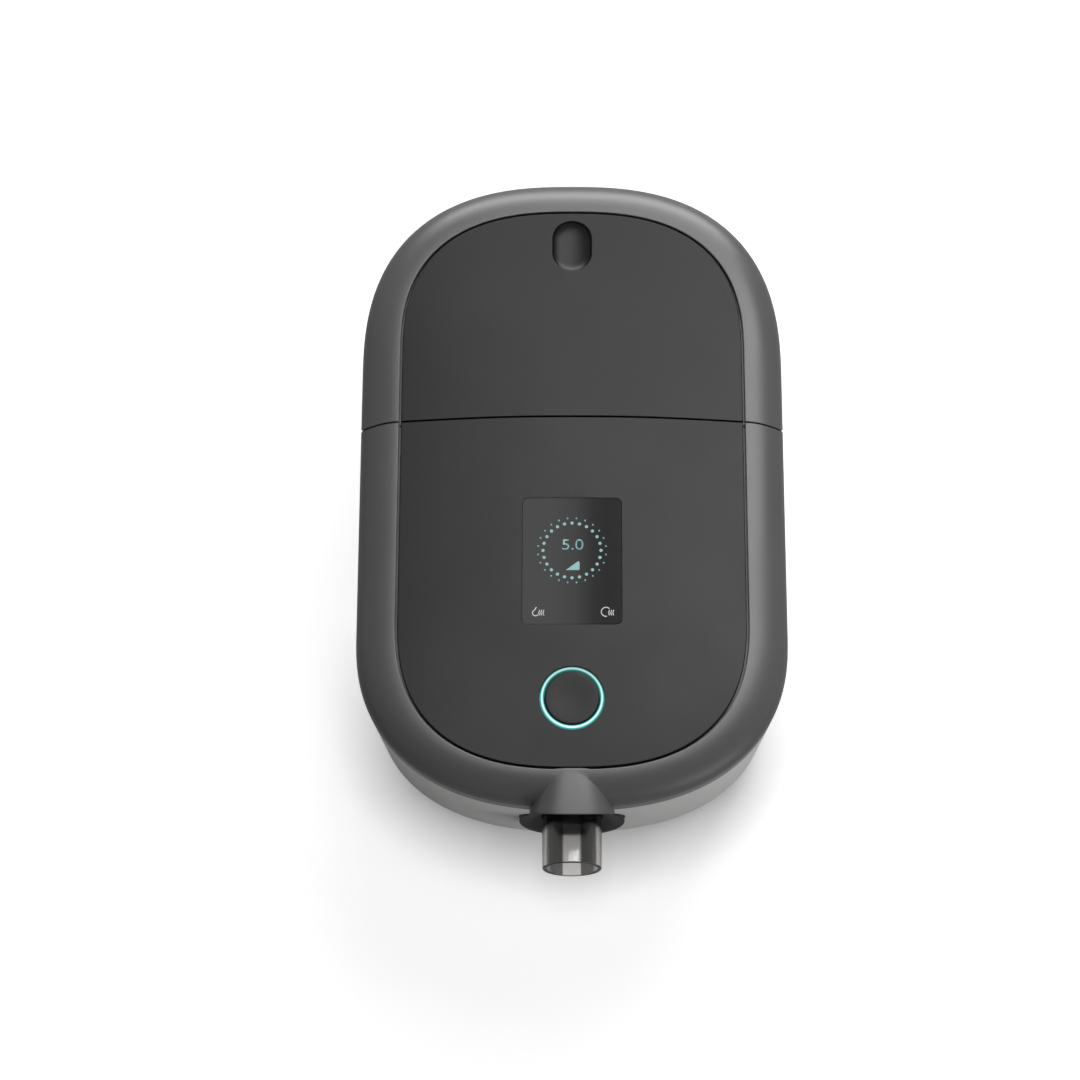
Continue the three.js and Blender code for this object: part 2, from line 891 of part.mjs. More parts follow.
function latchHook() {
  const x = latch.width / 2;
  const stem = box([-x, latchY - latch.thickness, latch.bottomZ], [x, latchY, ledgeBottomZ - gap]);
  const nose = box(
    [-x, latchY - latch.thickness - latch.hookReach, latch.bottomZ],
    [x, latchY - latch.thickness, latch.bottomZ + latch.hookHeight],
  );
  const head = box(
    [-x, rearY - liner.rearInset, ledgeBottomZ - gap - liner.plate],
    [x, latchY, ledgeBottomZ - gap],
  );
  return joined(stem, nose, head.subtract(box([-x, 0, 0], [x, rearY - liner.rearInset + gap, outsideZ])));
}

piece('lid_latch_hook', latchHook(), finishes.blackPlastic, [0, 0, 0], lid);

// Hinge pins and the brackets that hold them
for (const [side, word] of [[-1, 'left'], [1, 'right']]) {
  const far = lugX + hinge.lugWidth / 2;
  const near = bracketX - hinge.bracketWidth / 2;
  const pin = new THREE.CylinderGeometry(hinge.pinRadius, hinge.pinRadius, far - near, coarseSides);
  pin.rotateZ(Math.PI / 2);
  piece(`hinge_pin_${word}`, pin, finishes.steel, [side * (far + near) / 2, hingeY, hinge.z]);
  const x0 = side * bracketX - hinge.bracketWidth / 2 + (side > 0 ? 0 : gap);
  const x1 = side * bracketX + hinge.bracketWidth / 2 - (side > 0 ? gap : 0);
  const footZ = bay.deckTopZ + gap;
  const stem = box([x0, hingeY - hinge.pinRadius, footZ], [x1, hingeY + hinge.bossRadius + gap, hinge.z]);
  const bracket = joined(
    axle(hinge.bossRadius, hingeY, hinge.z, x0, x1),
    stem,
    box([x0, hingeY - hinge.bossRadius, footZ], [x1, hingeY - hinge.bossRadius + hinge.footLength,
      footZ + hinge.footThickness]),
  );
  const hole = axle(hinge.pinRadius + gap, hingeY, hinge.z, x0 - overrun, x1 + overrun);
  piece(`hinge_bracket_${word}`, bracket.subtract(hole), finishes.blackPlastic);
}

// Base housing, light grey, with every opening in its walls and floor
const doorTilt = Math.atan(housing.sideTaper / (housing.widestZ - housing.undersideZ));
const doorHinge = {
  z: filter.topZ - gap - filter.doorThickness / 2,
  get x() {
    return -sideX(this.z) + filter.doorThickness / 2 / Math.cos(doorTilt);
  },
};

// Puts a geometry drawn about the filter door's pin into place on the leaning left wall
function atDoor(geometry) {
  geometry.rotateY(-doorTilt);
  geometry.translate(doorHinge.x, 0, doorHinge.z);
  return geometry;
}

const doorDrop = doorHinge.z - filter.bottomZ;
const doorMiddleY = (filterFrontY + filterRearY) / 2;

// Tool for a square hole through the right wall, with clearance round what fills it
function rightWallHole(y, z, width, height) {
  return box(
    [sideX(z, housing.wall) - overrun, y - width / 2 - gap, z - height / 2 - gap],
    [housing.width, y + width / 2 + gap, z + height / 2 + gap],
  );
}

function baseHousing() {
  const shell = outerShell.intersect(box(
    [-housing.width, frontY - overrun, 0],
    [housing.width, rearY + overrun, baseTopZ],
  ));
  const collarBore = bar(outlet.collarRadius + gap, 0, outlet.z, collarFaceY - overrun,
    collarFaceY + outlet.collarDepth + gap, fineSides);
  const doorHole = solid(atDoor(boxGeometry(
    [-overrun, filterFrontY, -doorDrop],
    [overrun, filterRearY, filter.topZ - doorHinge.z],
  )));
  const pinHoleRadius = filter.pinRadius + gap;
  const pinHole = solid(atDoor(new THREE.CylinderGeometry(
    pinHoleRadius, pinHoleRadius, filter.length + 2 * (filter.pinLength + gap), coarseSides,
  ).translate(0, doorMiddleY, 0)));
  const inletHole = rightWallHole(inletY, inlet.z, inlet.faceWidth, inlet.faceHeight);
  const cardHole = rightWallHole(cardY, card.z, card.width, card.thickness);
  const headTopZ = housing.undersideZ + screw.headHeight + gap;
  const floorCuts = [];
  for (const x of [-footX, footX]) {
    for (const y of footYs) {
      floorCuts.push(post(foot.radius + gap, x, y, 0, housing.undersideZ + foot.recessDepth));
    }
  }
  for (const x of [-screwX, screwX]) {
    for (const y of screwYs) {
      floorCuts.push(post(screw.headRadius + gap, x, y, 0, headTopZ, coarseSides));
      floorCuts.push(post(screw.shankRadius + gap, x, y, 0, innerFloorZ + overrun / 2, coarseSides));
    }
  }
  return cut(shell, collarBore, doorHole, pinHole, inletHole, cardHole, ...floorCuts);
}

piece('base_housing', baseHousing(), finishes.warmGrey);

// Air outlet: tapered tube, dark collar, ring seal and the duct behind
const tubeRootY = collarFaceY + outlet.collarDepth + gap + outlet.sealThickness + gap;
piece('outlet_tube', turnedGeometry([
  [outlet.boreRadius, outletEndY],
  [outlet.endRadius, outletEndY],
  [outlet.rootRadius, collarFaceY + outlet.collarDepth],
  [outlet.rootRadius, tubeRootY],
  [outlet.flangeRadius, tubeRootY],
  [outlet.flangeRadius, tubeRootY + outlet.flangeThickness],
  [outlet.boreRadius, tubeRootY + outlet.flangeThickness],
], fineSides), finishes.smokyClear, [0, 0, outlet.z]);
piece('outlet_collar', turnedGeometry([
  [outlet.rootRadius + gap, outlet.collarRecessDepth],
  [outlet.collarRecessInner, outlet.collarRecessDepth],
  [outlet.collarRecessInner, outlet.collarRecessDepth / 2],
  [outlet.collarRecessOuter, 0],
  [outlet.collarRadius, 0],
  [outlet.collarRadius, outlet.collarDepth],
  [outlet.rootRadius + gap, outlet.collarDepth],
], fineSides), finishes.blackPlastic, [0, collarFaceY, outlet.z]);
piece('outlet_seal', turnedGeometry(
  ringProfile(outlet.rootRadius + gap, outlet.flangeRadius, 0, outlet.sealThickness),
), finishes.softSeal, [0, collarFaceY + outlet.collarDepth + gap, outlet.z]);
const ductStartY = tubeRootY + outlet.flangeThickness + gap;
piece('outlet_duct', turnedGeometry(
  ringProfile(outlet.ductRadius - outlet.ductWall, outlet.ductRadius, ductStartY, bulkheadY - gap),
), finishes.innerGrey, [0, 0, outlet.z]);

// Display stack, let into the front panel
const displayEdgeZ = topZ(displayY - display.length / 2 - display.moduleMargin) - 2 * gap;
const glassBottomZ = displayEdgeZ - display.glassThickness;
const moduleTopZ = displayEdgeZ - housing.wall - gap;
const moduleBottomZ = moduleTopZ - display.moduleThickness;
piece('display_window', solid(raised(
  roundedShape(display.width, display.length, display.corner), glassBottomZ, outsideZ, 3,
).translate(0, displayY, 0)).intersect(outerForm), finishes.glass);
piece('display_module', new THREE.BoxGeometry(
  display.width + 2 * display.moduleMargin,
  display.length + 2 * display.moduleMargin,
  display.moduleThickness,
), finishes.screen, [0, displayY, (moduleTopZ + moduleBottomZ) / 2]);

function displayFrame() {
  const x = display.width / 2 + display.moduleMargin;
  const y = display.length / 2 + display.moduleMargin;
  const w = display.frameWall;
  return cut(
    box([-x, -y, board.topZ + gap], [x, y, moduleBottomZ - gap]),
    box([-x + w, -y + w, 0], [x - w, y - w, outsideZ]),
  );
}

piece('display_frame', displayFrame(), finishes.blackPlastic, [0, displayY, 0]);

// Therapy button, its light ring, and the switch under it
const buttonZ = topZ(buttonY) - button.thickness;
const stemZ = buttonZ - button.stemLength;
piece('therapy_button', joined(
  post(button.radius, 0, buttonY, buttonZ, outsideZ, fineSides),
  post(button.stemRadius, 0, buttonY, stemZ, buttonZ + gap),
).intersect(outerForm), finishes.panelBlack);
const ringSeatZ = Math.min(ledgeTopZ, topZ(buttonY) - housing.wall - gap);
const ringBottomZ = ringSeatZ - button.ringFlangeThickness - gap;
piece('button_light_ring', solid(standingGeometry([
  [button.radius + gap, ringBottomZ],
  [button.ringFlange, ringBottomZ],
  [button.ringFlange, ringBottomZ + button.ringFlangeThickness],
  [button.ringRadius, ringBottomZ + button.ringFlangeThickness],
  [button.ringRadius, outsideZ],
  [button.radius + gap, outsideZ],
], fineSides).translate(0, buttonY, 0)).intersect(outerForm), finishes.lightRing);
const pressedZ = stemZ - button.travel;
const switchBody = new THREE.CylinderGeometry(
  button.switchRadius, button.switchRadius, pressedZ - gap - board.topZ - gap, roundSides,
);
switchBody.rotateX(Math.PI / 2);
piece('button_switch', switchBody, finishes.darkRubber, [0, buttonY, (pressedZ + board.topZ) / 2]);

piece('main_board', boxGeometry(
  [-boardHalfWidth, boardFrontY, boardBottomZ],
  [boardHalfWidth, boardRearY, board.topZ],
), finishes.circuitGreen);

// Tub for the tank, its deck, and the bulkhead in front of it
const tubForm = (z) => wallForm(z, housing.wall + bay.sideClearance);
const openingForm = wallForm(bay.deckTopZ, housing.wall + bay.openingInset);

function behind(y, z0 = 0, z1 = outsideZ) {
  return box([-housing.width, y, z0], [housing.width, rearY + overrun, z1]);
}

// Clearance hole for a housing screw, up into its boss
function screwHole(x, y) {
  return post(screw.shankRadius + gap, x, y, 0, innerFloorZ + screw.length + gap, coarseSides);
}

function bayLiner() {
  const lowForm = tubForm(bay.floorZ + housing.bottomRound);
  const outer = solid(loft([
    { form: offsetForm(lowForm, housing.bottomRound), z: bay.floorZ },
    { form: lowForm, z: bay.floorZ + housing.bottomRound },
    { form: tubForm(bay.deckTopZ), z: bay.deckTopZ },
  ], innerPoints)).intersect(behind(bulkheadY));
  const underDeck = solid(loft([
    { form: offsetForm(lowForm, housing.bottomRound + bay.wall), z: bay.floorZ + bay.wall },
    { form: offsetForm(lowForm, bay.wall), z: bay.floorZ + housing.bottomRound },
    { form: offsetForm(tubForm(bay.deckTopZ), bay.wall), z: bay.deckTopZ - bay.deckThickness },
  ], innerPoints)).intersect(behind(bulkheadY + bay.wall));
  const opening = prism(openingForm, bay.deckTopZ - overrun, outsideZ, innerPoints)
    .intersect(behind(bayFrontY));
  const latchSlot = box(
    [-latch.width / 2 - latch.slotMargin, latchY - latch.thickness - latch.hookReach - latch.slotMargin, 0],
    [latch.width / 2 + latch.slotMargin, latchY + 2 * latch.slotMargin, outsideZ],
  ).intersect(behind(0, bay.deckTopZ - bay.deckThickness - overrun));
  const ductHole = bar(
    outlet.ductRadius - outlet.ductWall, 0, outlet.z, bulkheadY - overrun, bulkheadY + overrun,
  );
  const holes = [-screwX, screwX].map((x) => screwHole(x, screwYs[1]));
  const bosses = [-screwX, screwX].map((x) => post(tray.bossRadius, x, screwYs[1], bay.floorZ,
    innerFloorZ + tray.bossHeight, coarseSides));
  const heaterHole = post(heater.radius + 2 * gap, 0, heaterY, 0, bay.floorZ + bay.wall + gap, fineSides);
  return cut(joined(cut(outer, underDeck), ...bosses), opening, latchSlot, ductHole, heaterHole, ...holes);
}

piece('tank_bay_liner', bayLiner(), finishes.innerGrey);

// Heater: insulating puck on the floor, aluminium plate on top
const puckBottomZ = innerFloorZ + gap;
const heaterBottomZ = heater.topZ - heater.thickness;
piece('heater_insulator', standingGeometry(
  ringProfile(heater.radius / 2, heater.radius - gap, puckBottomZ, heaterBottomZ - gap),
), finishes.whiteNylon, [0, heaterY, 0]);
piece('heater_plate', standingGeometry([
  [0, heaterBottomZ],
  [heater.radius, heaterBottomZ],
  [heater.radius, heater.topZ],
  [0, heater.topZ],
], fineSides), finishes.aluminium, [0, heaterY, 0]);

// Water tank: steel plate, clear tub, seal and lid with its air collar

function tankBase() {
  const lower = tankForm(tank.bottomZ);
  const upper = tankForm(tank.rimZ);
  const outer = solid(loft([{ form: lower, z: tank.bottomZ }, { form: upper, z: tank.rimZ }], innerPoints))
    .intersect(behind(tankFrontY));
  const inner = solid(loft([
    { form: offsetForm(lower, tank.wall), z: tank.bottomZ + tank.wall },
    { form: offsetForm(upper, tank.wall), z: tank.rimZ + gap },
  ], innerPoints)).intersect(behind(tankFrontY + tank.wall));
  const plateHoleTopZ = tank.bottomZ + tank.wall + gap;
  const plateHole = post(heater.radius - tank.wall, 0, heaterY, 0, plateHoleTopZ, fineSides);
  return cut(outer, inner, plateHole);
}

function tankRing(inset, width, z0, z1) {
  const form = tankForm(tank.rimZ);
  const outer = prism(offsetForm(form, inset), z0, z1, innerPoints).intersect(behind(tankFrontY + inset));
  const inner = prism(offsetForm(form, inset + width), z0 - overrun, z1 + overrun, innerPoints)
    .intersect(behind(tankFrontY + inset + width));
  return cut(outer, inner);
}

function tankLid() {
  const z0 = tank.rimZ + gap + tank.sealThickness + gap;
  const z1 = z0 + tank.lidThickness;
  const plate = prism(tankForm(tank.rimZ), z0, z1, innerPoints).intersect(behind(tankFrontY));
  const collar = post(tank.collarOuter, 0, heaterY, z0, tank.collarTopZ, fineSides);
  const bore = post(tank.collarInner, 0, heaterY, 0, outsideZ, fineSides);
  const grips = [];
  for (const y of [tankFrontY + tank.gripMargin, tankRearY - tank.gripMargin - tank.gripLength / 2]) {
    grips.push(box(
      [-tank.gripWidth / 2, y - tank.gripLength / 2, z0],
      [tank.gripWidth / 2, y + tank.gripLength / 2, z1 + tank.gripHeight / 2],
    ));
  }
  return cut(joined(plate, collar, ...grips), bore);
}

piece('tank_heat_plate', standingGeometry([
  [0, heater.topZ + gap],
  [heater.radius, heater.topZ + gap],
  [heater.radius, tank.bottomZ - gap],
  [0, tank.bottomZ - gap],
], fineSides), finishes.steel, [0, heaterY, 0]);
piece('water_tank', tankBase(), finishes.tankClear);
piece('tank_seal', tankRing(
  0, tank.wall + tank.lidLip, tank.rimZ + gap, tank.rimZ + gap + tank.sealThickness,
), finishes.softSeal);
piece('tank_lid', tankLid(), finishes.tankClear);

// Chassis tray under the electronics and the blower
const trayZ = innerFloorZ + gap;
const trayTopZ = trayZ + tray.thickness;

function chassisTray() {
  const plate = prism(wallForm(trayZ, housing.wall + tray.inset), trayZ, trayTopZ, innerPoints)
    .intersect(box([-housing.width, frontY, 0], [housing.width, bulkheadY - tray.rearClearance, outsideZ]));
  const parts = [];
  const holes = [];
  for (const x of [-screwX, screwX]) {
    parts.push(post(tray.bossRadius, x, screwYs[0], trayZ, trayZ + tray.bossHeight, coarseSides));
    holes.push(screwHole(x, screwYs[0]));
  }
  for (const x of [-1, 1]) {
    for (const y of [-1, 1]) {
      const px = supplyX + x * (supply.width / 2 - supply.standoffRadius);
      const py = supplyY + y * (supply.length / 2 - supply.standoffRadius);
      parts.push(post(supply.standoffRadius, px, py, trayZ, trayTopZ + supply.standoff, coarseSides));
    }
  }
  const airHole = post(blower.inletRadius, blowerX, blowerY, 0, outsideZ);
  return cut(joined(plate, ...parts), ...holes, airHole.intersect(box([-housing.width, frontY, 0],
    [housing.width, rearY, trayTopZ + gap])));
}

piece('chassis_tray', chassisTray(), finishes.blackPlastic);

// Power supply on its standoffs
const supplyZ = trayTopZ + supply.standoff + gap;
const supplyTopZ = supplyZ + supply.thickness;

piece('power_board', new THREE.BoxGeometry(supply.width, supply.length, supply.thickness),
  finishes.circuitGreen, [supplyX, supplyY, supplyZ + supply.thickness / 2]);
piece('power_transformer', new THREE.BoxGeometry(supply.coreWidth, supply.coreLength, supply.coreHeight),
  finishes.blackPlastic, [
    supplyX - supply.width / 2 + supply.partInset + supply.coreWidth / 2,
    supplyY - supply.length / 2 + supply.coreLength / 2,
    supplyTopZ + gap + supply.coreHeight / 2,
  ]);
const capBody = new THREE.CylinderGeometry(supply.capRadius, supply.capRadius, supply.capHeight, roundSides);
capBody.rotateX(Math.PI / 2);
piece('power_capacitor', capBody, finishes.blackPlastic, [
  supplyX - supply.width / 2 + supply.partInset + supply.capRadius,
  supplyY + supply.length / 2 - supply.partInset - supply.capRadius,
  supplyTopZ + gap + supply.capHeight / 2,
]);

// Mains inlet with two pins in its socket
function mainsInlet() {
  const faceX = sideX(inlet.z + inlet.faceHeight / 2) - gap;
  const wallX = sideX(inlet.z - inlet.bodyHeight / 2, housing.wall) - gap;
  const face = box(
    [wallX - inlet.bodyDepth, -inlet.faceWidth / 2, -inlet.faceHeight / 2],
    [faceX, inlet.faceWidth / 2, inlet.faceHeight / 2],
  );
  const block = box(
    [wallX - inlet.bodyDepth, -inlet.bodyWidth / 2, -inlet.bodyHeight / 2],
    [wallX, inlet.bodyWidth / 2, inlet.bodyHeight / 2],
  );
  const socketShape = roundedShape(inlet.socketHeight, inlet.socketWidth, inlet.socketCorner);
  const socket = raised(socketShape, -inlet.socketDepth, overrun);
  socket.rotateY(Math.PI / 2);
  socket.translate(faceX, 0, 0);
  const pins = [-1, 1].map((side) => axle(inlet.pinRadius, side * inlet.pinSpacing / 2, 0,
    faceX - inlet.socketDepth - overrun / 2, faceX - inlet.socketDepth + inlet.pinReach, coarseSides));
  return joined(cut(joined(face, block), solid(socket)), ...pins);
}

piece('power_inlet', mainsInlet(), finishes.blackPlastic, [0, inletY, inlet.z]);

// Memory card and reader
const cardFaceX = sideX(card.z);
piece('memory_card', new THREE.BoxGeometry(card.length, card.width, card.thickness), finishes.blackPlastic,
  [cardFaceX - card.length / 2, cardY, card.z]);

function cardReader() {
  const outerX = sideX(card.z - card.readerWall * 2, housing.wall) - gap;
  const y = card.width / 2 + gap + card.readerWall;
  const z = card.thickness / 2 + gap + card.readerWall;
  const block = box([outerX - card.readerLength, -y, -z], [outerX, y, z]);
  const slot = box(
    [cardFaceX - card.length - gap, -card.width / 2 - gap, -card.thickness / 2 - gap],
    [outerX + overrun, card.width / 2 + gap, card.thickness / 2 + gap],
  );
  return block.subtract(slot);
}

piece('card_reader', cardReader(), finishes.steel, [0, cardY, card.z]);

// Filter flap in the left wall, the cassette behind it and its foam
function filterDoor() {
  const half = filter.doorThickness / 2;
  const y0 = filterFrontY + 2 * gap;
  const y1 = filterRearY - 2 * gap;
  const plate = box([-half, y0, -doorDrop + 2 * gap], [half, y1, 0]);
  const knuckle = new THREE.CylinderGeometry(half, half, y1 - y0, coarseSides);
  knuckle.translate(0, (y0 + y1) / 2, 0);
  const pinSpan = y1 - y0 + 2 * filter.pinLength;
  const pins = new THREE.CylinderGeometry(filter.pinRadius, filter.pinRadius, pinSpan, coarseSides);
  pins.translate(0, (y0 + y1) / 2, 0);
  const slots = [];
  const pitch = (doorDrop - 2 * filter.slotMargin) / (filter.slotCount - 1);
  for (let i = 0; i < filter.slotCount; i++) {
    const z = -filter.slotMargin - i * pitch;
    slots.push(box(
      [-overrun, y0 + filter.slotMargin, z - filter.slotHeight / 2],
      [overrun, y1 - filter.slotMargin, z + filter.slotHeight / 2],
    ));
  }
  return cut(joined(plate, solid(knuckle), solid(pins)), ...slots);
}

const door = piece('filter_door', filterDoor(), finishes.warmGrey, [doorHinge.x, 0, doorHinge.z]);
door.rotation.y = -doorTilt;

const cassetteLow = [0, filterFrontY, filter.bottomZ - filter.cassetteWall];
const cassetteHigh = [filter.cassetteDepth, filterRearY, filter.topZ];

function filterCassette() {
  const w = filter.cassetteWall;
  const shell = box(cassetteLow, cassetteHigh);
  const inside = box(
    [-overrun, cassetteLow[1] + w, cassetteLow[2] + w],
    [filter.cassetteDepth - w, cassetteHigh[1] - w, cassetteHigh[2] - w],
  );
  const margin = filter.slotMargin;
  const airHole = box(
    [-overrun, cassetteLow[1] + margin, cassetteLow[2] + margin],
    [filter.cassetteDepth + overrun, cassetteHigh[1] - margin, cassetteHigh[2] - margin],
  );
  return cut(shell, inside, airHole);
}

piece('filter_cassette', filterCassette(), finishes.blackPlastic, [cassetteX, 0, 0]);
piece('inlet_filter', boxGeometry(
  [filter.cassetteDepth - filter.cassetteWall - gap - filter.foamThickness,
    cassetteLow[1] + filter.cassetteWall + gap, cassetteLow[2] + filter.cassetteWall + gap],
  [filter.cassetteDepth - filter.cassetteWall - gap,
    cassetteHigh[1] - filter.cassetteWall - gap, cassetteHigh[2] - filter.cassetteWall - gap],
), finishes.foam, [cassetteX, 0, 0]);

// Blower, from the soft mount up to the motor
const blowerGroup = new THREE.Group();
blowerGroup.position.set(blowerX, blowerY, trayTopZ + gap);
machine.add(blowerGroup);
const lowerZ = blower.mountHeight + gap;
const upperZ = lowerZ + blower.lowerHeight + gap;
const canZ = upperZ + blower.upperHeight + gap;
const discZ = lowerZ + blower.wall + 3 * gap;
const shaftTopZ = canZ + blower.canHeight - blower.canWall - gap;

piece('blower_mount', standingGeometry(
  ringProfile(blowerRadius - blower.mountWidth, blowerRadius, 0, blower.mountHeight),
), finishes.darkRubber, [0, 0, 0], blowerGroup);

function blowerLower() {
  const drum = post(blowerRadius, 0, 0, lowerZ, lowerZ + blower.lowerHeight);
  const inside = post(blowerRadius - blower.wall, 0, 0, lowerZ + blower.wall, outsideZ);
  const inletHole = post(blower.inletRadius, 0, 0, 0, outsideZ);
  const x1 = blowerRadius - blower.wall / 2;
  const x0 = x1 - blower.nozzleWidth;
  const end = bulkheadY - blowerY - 2 * gap;
  const nozzle = box([x0, 0, lowerZ], [x1, end, lowerZ + blower.lowerHeight]);
  const w = blower.wall;
  const passage = box([x0 + w, 0, lowerZ + w], [x1 - w, end + overrun, lowerZ + blower.lowerHeight - w]);
  return cut(joined(cut(nozzle, post(blowerRadius - w / 2, 0, 0, 0, outsideZ)), cut(drum, inside)),
    passage, inletHole);
}

piece('blower_lower_housing', blowerLower(), finishes.blackPlastic, [0, 0, 0], blowerGroup);
piece('blower_upper_housing', standingGeometry(
  ringProfile(blower.hubRadius, blowerRadius, upperZ, upperZ + blower.upperHeight),
), finishes.blackPlastic, [0, 0, 0], blowerGroup);

function impeller() {
  const bladeTopZ = discZ + blower.impellerThickness + blower.bladeHeight;
  const hub = post(blower.hubRadius - 2 * gap, 0, 0, discZ, bladeTopZ);
  const disc = post(impellerRadius, 0, 0, discZ, discZ + blower.impellerThickness);
  const blades = [];
  for (let i = 0; i < blower.bladeCount; i++) {
    const blade = boxGeometry(
      [blower.hubRadius - 3 * gap, 0, discZ + blower.impellerThickness - gap],
      [impellerRadius - gap, blower.bladeThickness, bladeTopZ],
    );
    blade.rotateZ((2 * Math.PI * i) / blower.bladeCount);
    blades.push(solid(blade));
  }
  const shaftHole = post(blower.shaftRadius + gap, 0, 0, 0, outsideZ, coarseSides);
  return joined(hub, disc, ...blades).subtract(shaftHole);
}

piece('blower_impeller', impeller(), finishes.whiteNylon, [0, 0, 0], blowerGroup);
const shaftLength = shaftTopZ - discZ;
const shaft = new THREE.CylinderGeometry(blower.shaftRadius, blower.shaftRadius, shaftLength, coarseSides);
shaft.rotateX(Math.PI / 2);
piece('motor_shaft', shaft, finishes.steel, [0, 0, (shaftTopZ + discZ) / 2], blowerGroup);
const canTopZ = canZ + blower.canHeight;
piece('motor_can', standingGeometry([
  [blower.canRadius - blower.canWall, canZ],
  [blower.canRadius, canZ],
  [blower.canRadius, canTopZ],
  [0, canTopZ],
  [0, canTopZ - blower.canWall],
  [blower.canRadius - blower.canWall, canTopZ - blower.canWall],
]), finishes.steel, [0, 0, 0], blowerGroup);
const magnetZ = canZ + gap;
const magnetTopZ = canTopZ - blower.canWall - gap - blower.bearingThickness - gap;
piece('motor_magnet', standingGeometry(
  ringProfile(blower.shaftRadius + gap, blower.magnetRadius, magnetZ, magnetTopZ), coarseSides,
), finishes.steel, [0, 0, 0], blowerGroup);
for (const [word, radius, z] of [
  ['upper', blower.bearingRadius, magnetTopZ + gap],
  ['lower', blower.hubRadius - gap, upperZ + gap],
]) {
  piece(`motor_bearing_${word}`, standingGeometry(
    ringProfile(blower.shaftRadius + gap, radius, z, z + blower.bearingThickness), coarseSides,
  ), finishes.steel, [0, 0, 0], blowerGroup);
}

// Feet and housing screws
const places = [
  ['front_left', -1, 0],
  ['front_right', 1, 0],
  ['rear_left', -1, 1],
  ['rear_right', 1, 1],
];
for (const [word, side, row] of places) {
  const pad = standingGeometry([
    [0, 0],
    [foot.radius - gap, 0],
    [foot.radius, gap],
    [foot.radius, housing.undersideZ + foot.recessDepth - gap],
    [0, housing.undersideZ + foot.recessDepth - gap],
  ]);
  piece(`foot_${word}`, pad, finishes.darkRubber, [side * footX, footYs[row], 0]);
  const fastener = standingGeometry([
    [0, 0],
    [screw.headRadius, 0],
    [screw.headRadius, screw.headHeight],
    [screw.shankRadius, screw.headHeight],
    [screw.shankRadius, screw.length],
    [0, screw.length],
  ], coarseSides);
  piece(`screw_${word}`, fastener, finishes.steel, [side * screwX, screwYs[row], housing.undersideZ]);
}

export default machine;
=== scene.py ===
# Bedside breathing-therapy machine: smooth shells, finishes, a lit display and a soft studio.
# Sizes of the machine are in millimetres, and those of the studio and every finished mesh in metres.
import json
import math

import bpy
import bmesh
import numpy as np
from mathutils import Matrix, Vector


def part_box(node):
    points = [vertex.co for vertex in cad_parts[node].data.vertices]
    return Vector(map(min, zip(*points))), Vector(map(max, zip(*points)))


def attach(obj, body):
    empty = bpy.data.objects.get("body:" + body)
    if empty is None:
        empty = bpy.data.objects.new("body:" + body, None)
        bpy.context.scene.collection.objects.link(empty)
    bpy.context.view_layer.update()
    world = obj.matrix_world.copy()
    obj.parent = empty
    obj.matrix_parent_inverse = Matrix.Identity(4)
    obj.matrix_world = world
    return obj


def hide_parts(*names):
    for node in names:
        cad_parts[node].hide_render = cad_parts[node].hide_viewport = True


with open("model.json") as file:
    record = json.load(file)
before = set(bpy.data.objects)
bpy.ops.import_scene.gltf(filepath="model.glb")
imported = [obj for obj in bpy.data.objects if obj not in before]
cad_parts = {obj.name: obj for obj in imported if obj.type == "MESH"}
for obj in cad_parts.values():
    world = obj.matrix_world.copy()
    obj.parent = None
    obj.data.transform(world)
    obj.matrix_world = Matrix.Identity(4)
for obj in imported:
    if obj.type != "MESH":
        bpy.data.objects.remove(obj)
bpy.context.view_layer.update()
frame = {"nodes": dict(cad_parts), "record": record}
millimetre = 0.001
print("frame loaded")


def cornersOf(node):  # a node's lowest and highest corners, in millimetres
    low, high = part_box(node)
    return low / millimetre, high / millimetre


coverLow, coverHigh = cornersOf("front_cover")
panelLow, panelHigh = cornersOf("front_panel")
lidLow, lidHigh = cornersOf("lid_frame")
lidPanelHigh = cornersOf("lid_panel")[1]
baseLow, baseHigh = cornersOf("base_housing")
pinLow, pinHigh = cornersOf("hinge_pin_left")
collarLow, collarHigh = cornersOf("outlet_collar")
tubeLow, tubeHigh = cornersOf("outlet_tube")
windowLow, windowHigh = cornersOf("display_window")
buttonLow, buttonHigh = cornersOf("therapy_button")
ringLow, ringHigh = cornersOf("button_light_ring")
bayLow, bayHigh = cornersOf("tank_bay_liner")
tankLow, tankHigh = cornersOf("water_tank")
tankSealLow, tankSealHigh = cornersOf("tank_seal")
tankLidLow, tankLidHigh = cornersOf("tank_lid")

housing = {
    "rearCap": 79,
    "rearSquareness": 2.55,
    "frontCap": 64,
    "frontSquareness": 2.35,
    "widestZ": 74,
    "sideTaper": 4.4,
    "endTaper": 9.3,
    "bottomRound": 5,
    "shoulderFullness": 1.85,
    "wall": 2.4,
    "floor": 2.5,
    "seam": 0.7,
    "gap": 0.3,
    "edgeRound": 0.45,
    "partingRound": 0.35,
    "outlinePoints": 264,
    "innerPoints": 132,
    "blankPoints": 60,
    "sweepPoints": 97,
    "shoulderSteps": 18,
    "bottomSteps": 5,
    "domeRings": 9,
}
panel = {
    "cap": 57.7,
    "squareness": 2.57,
    "ledgeWidth": 5,
    "ledgeThickness": 2,
    "webWidth": 3,
}
overrun = 6  # how far a cutting shape reaches past what it cuts
edgeSteps = 5  # points across a rounded edge
smallEdgeSteps = 4
halvings = 30  # rounds in which a height on the dome is closed in on
gap = housing["gap"]
halfTurn = math.pi
quarterTurn = math.pi / 2

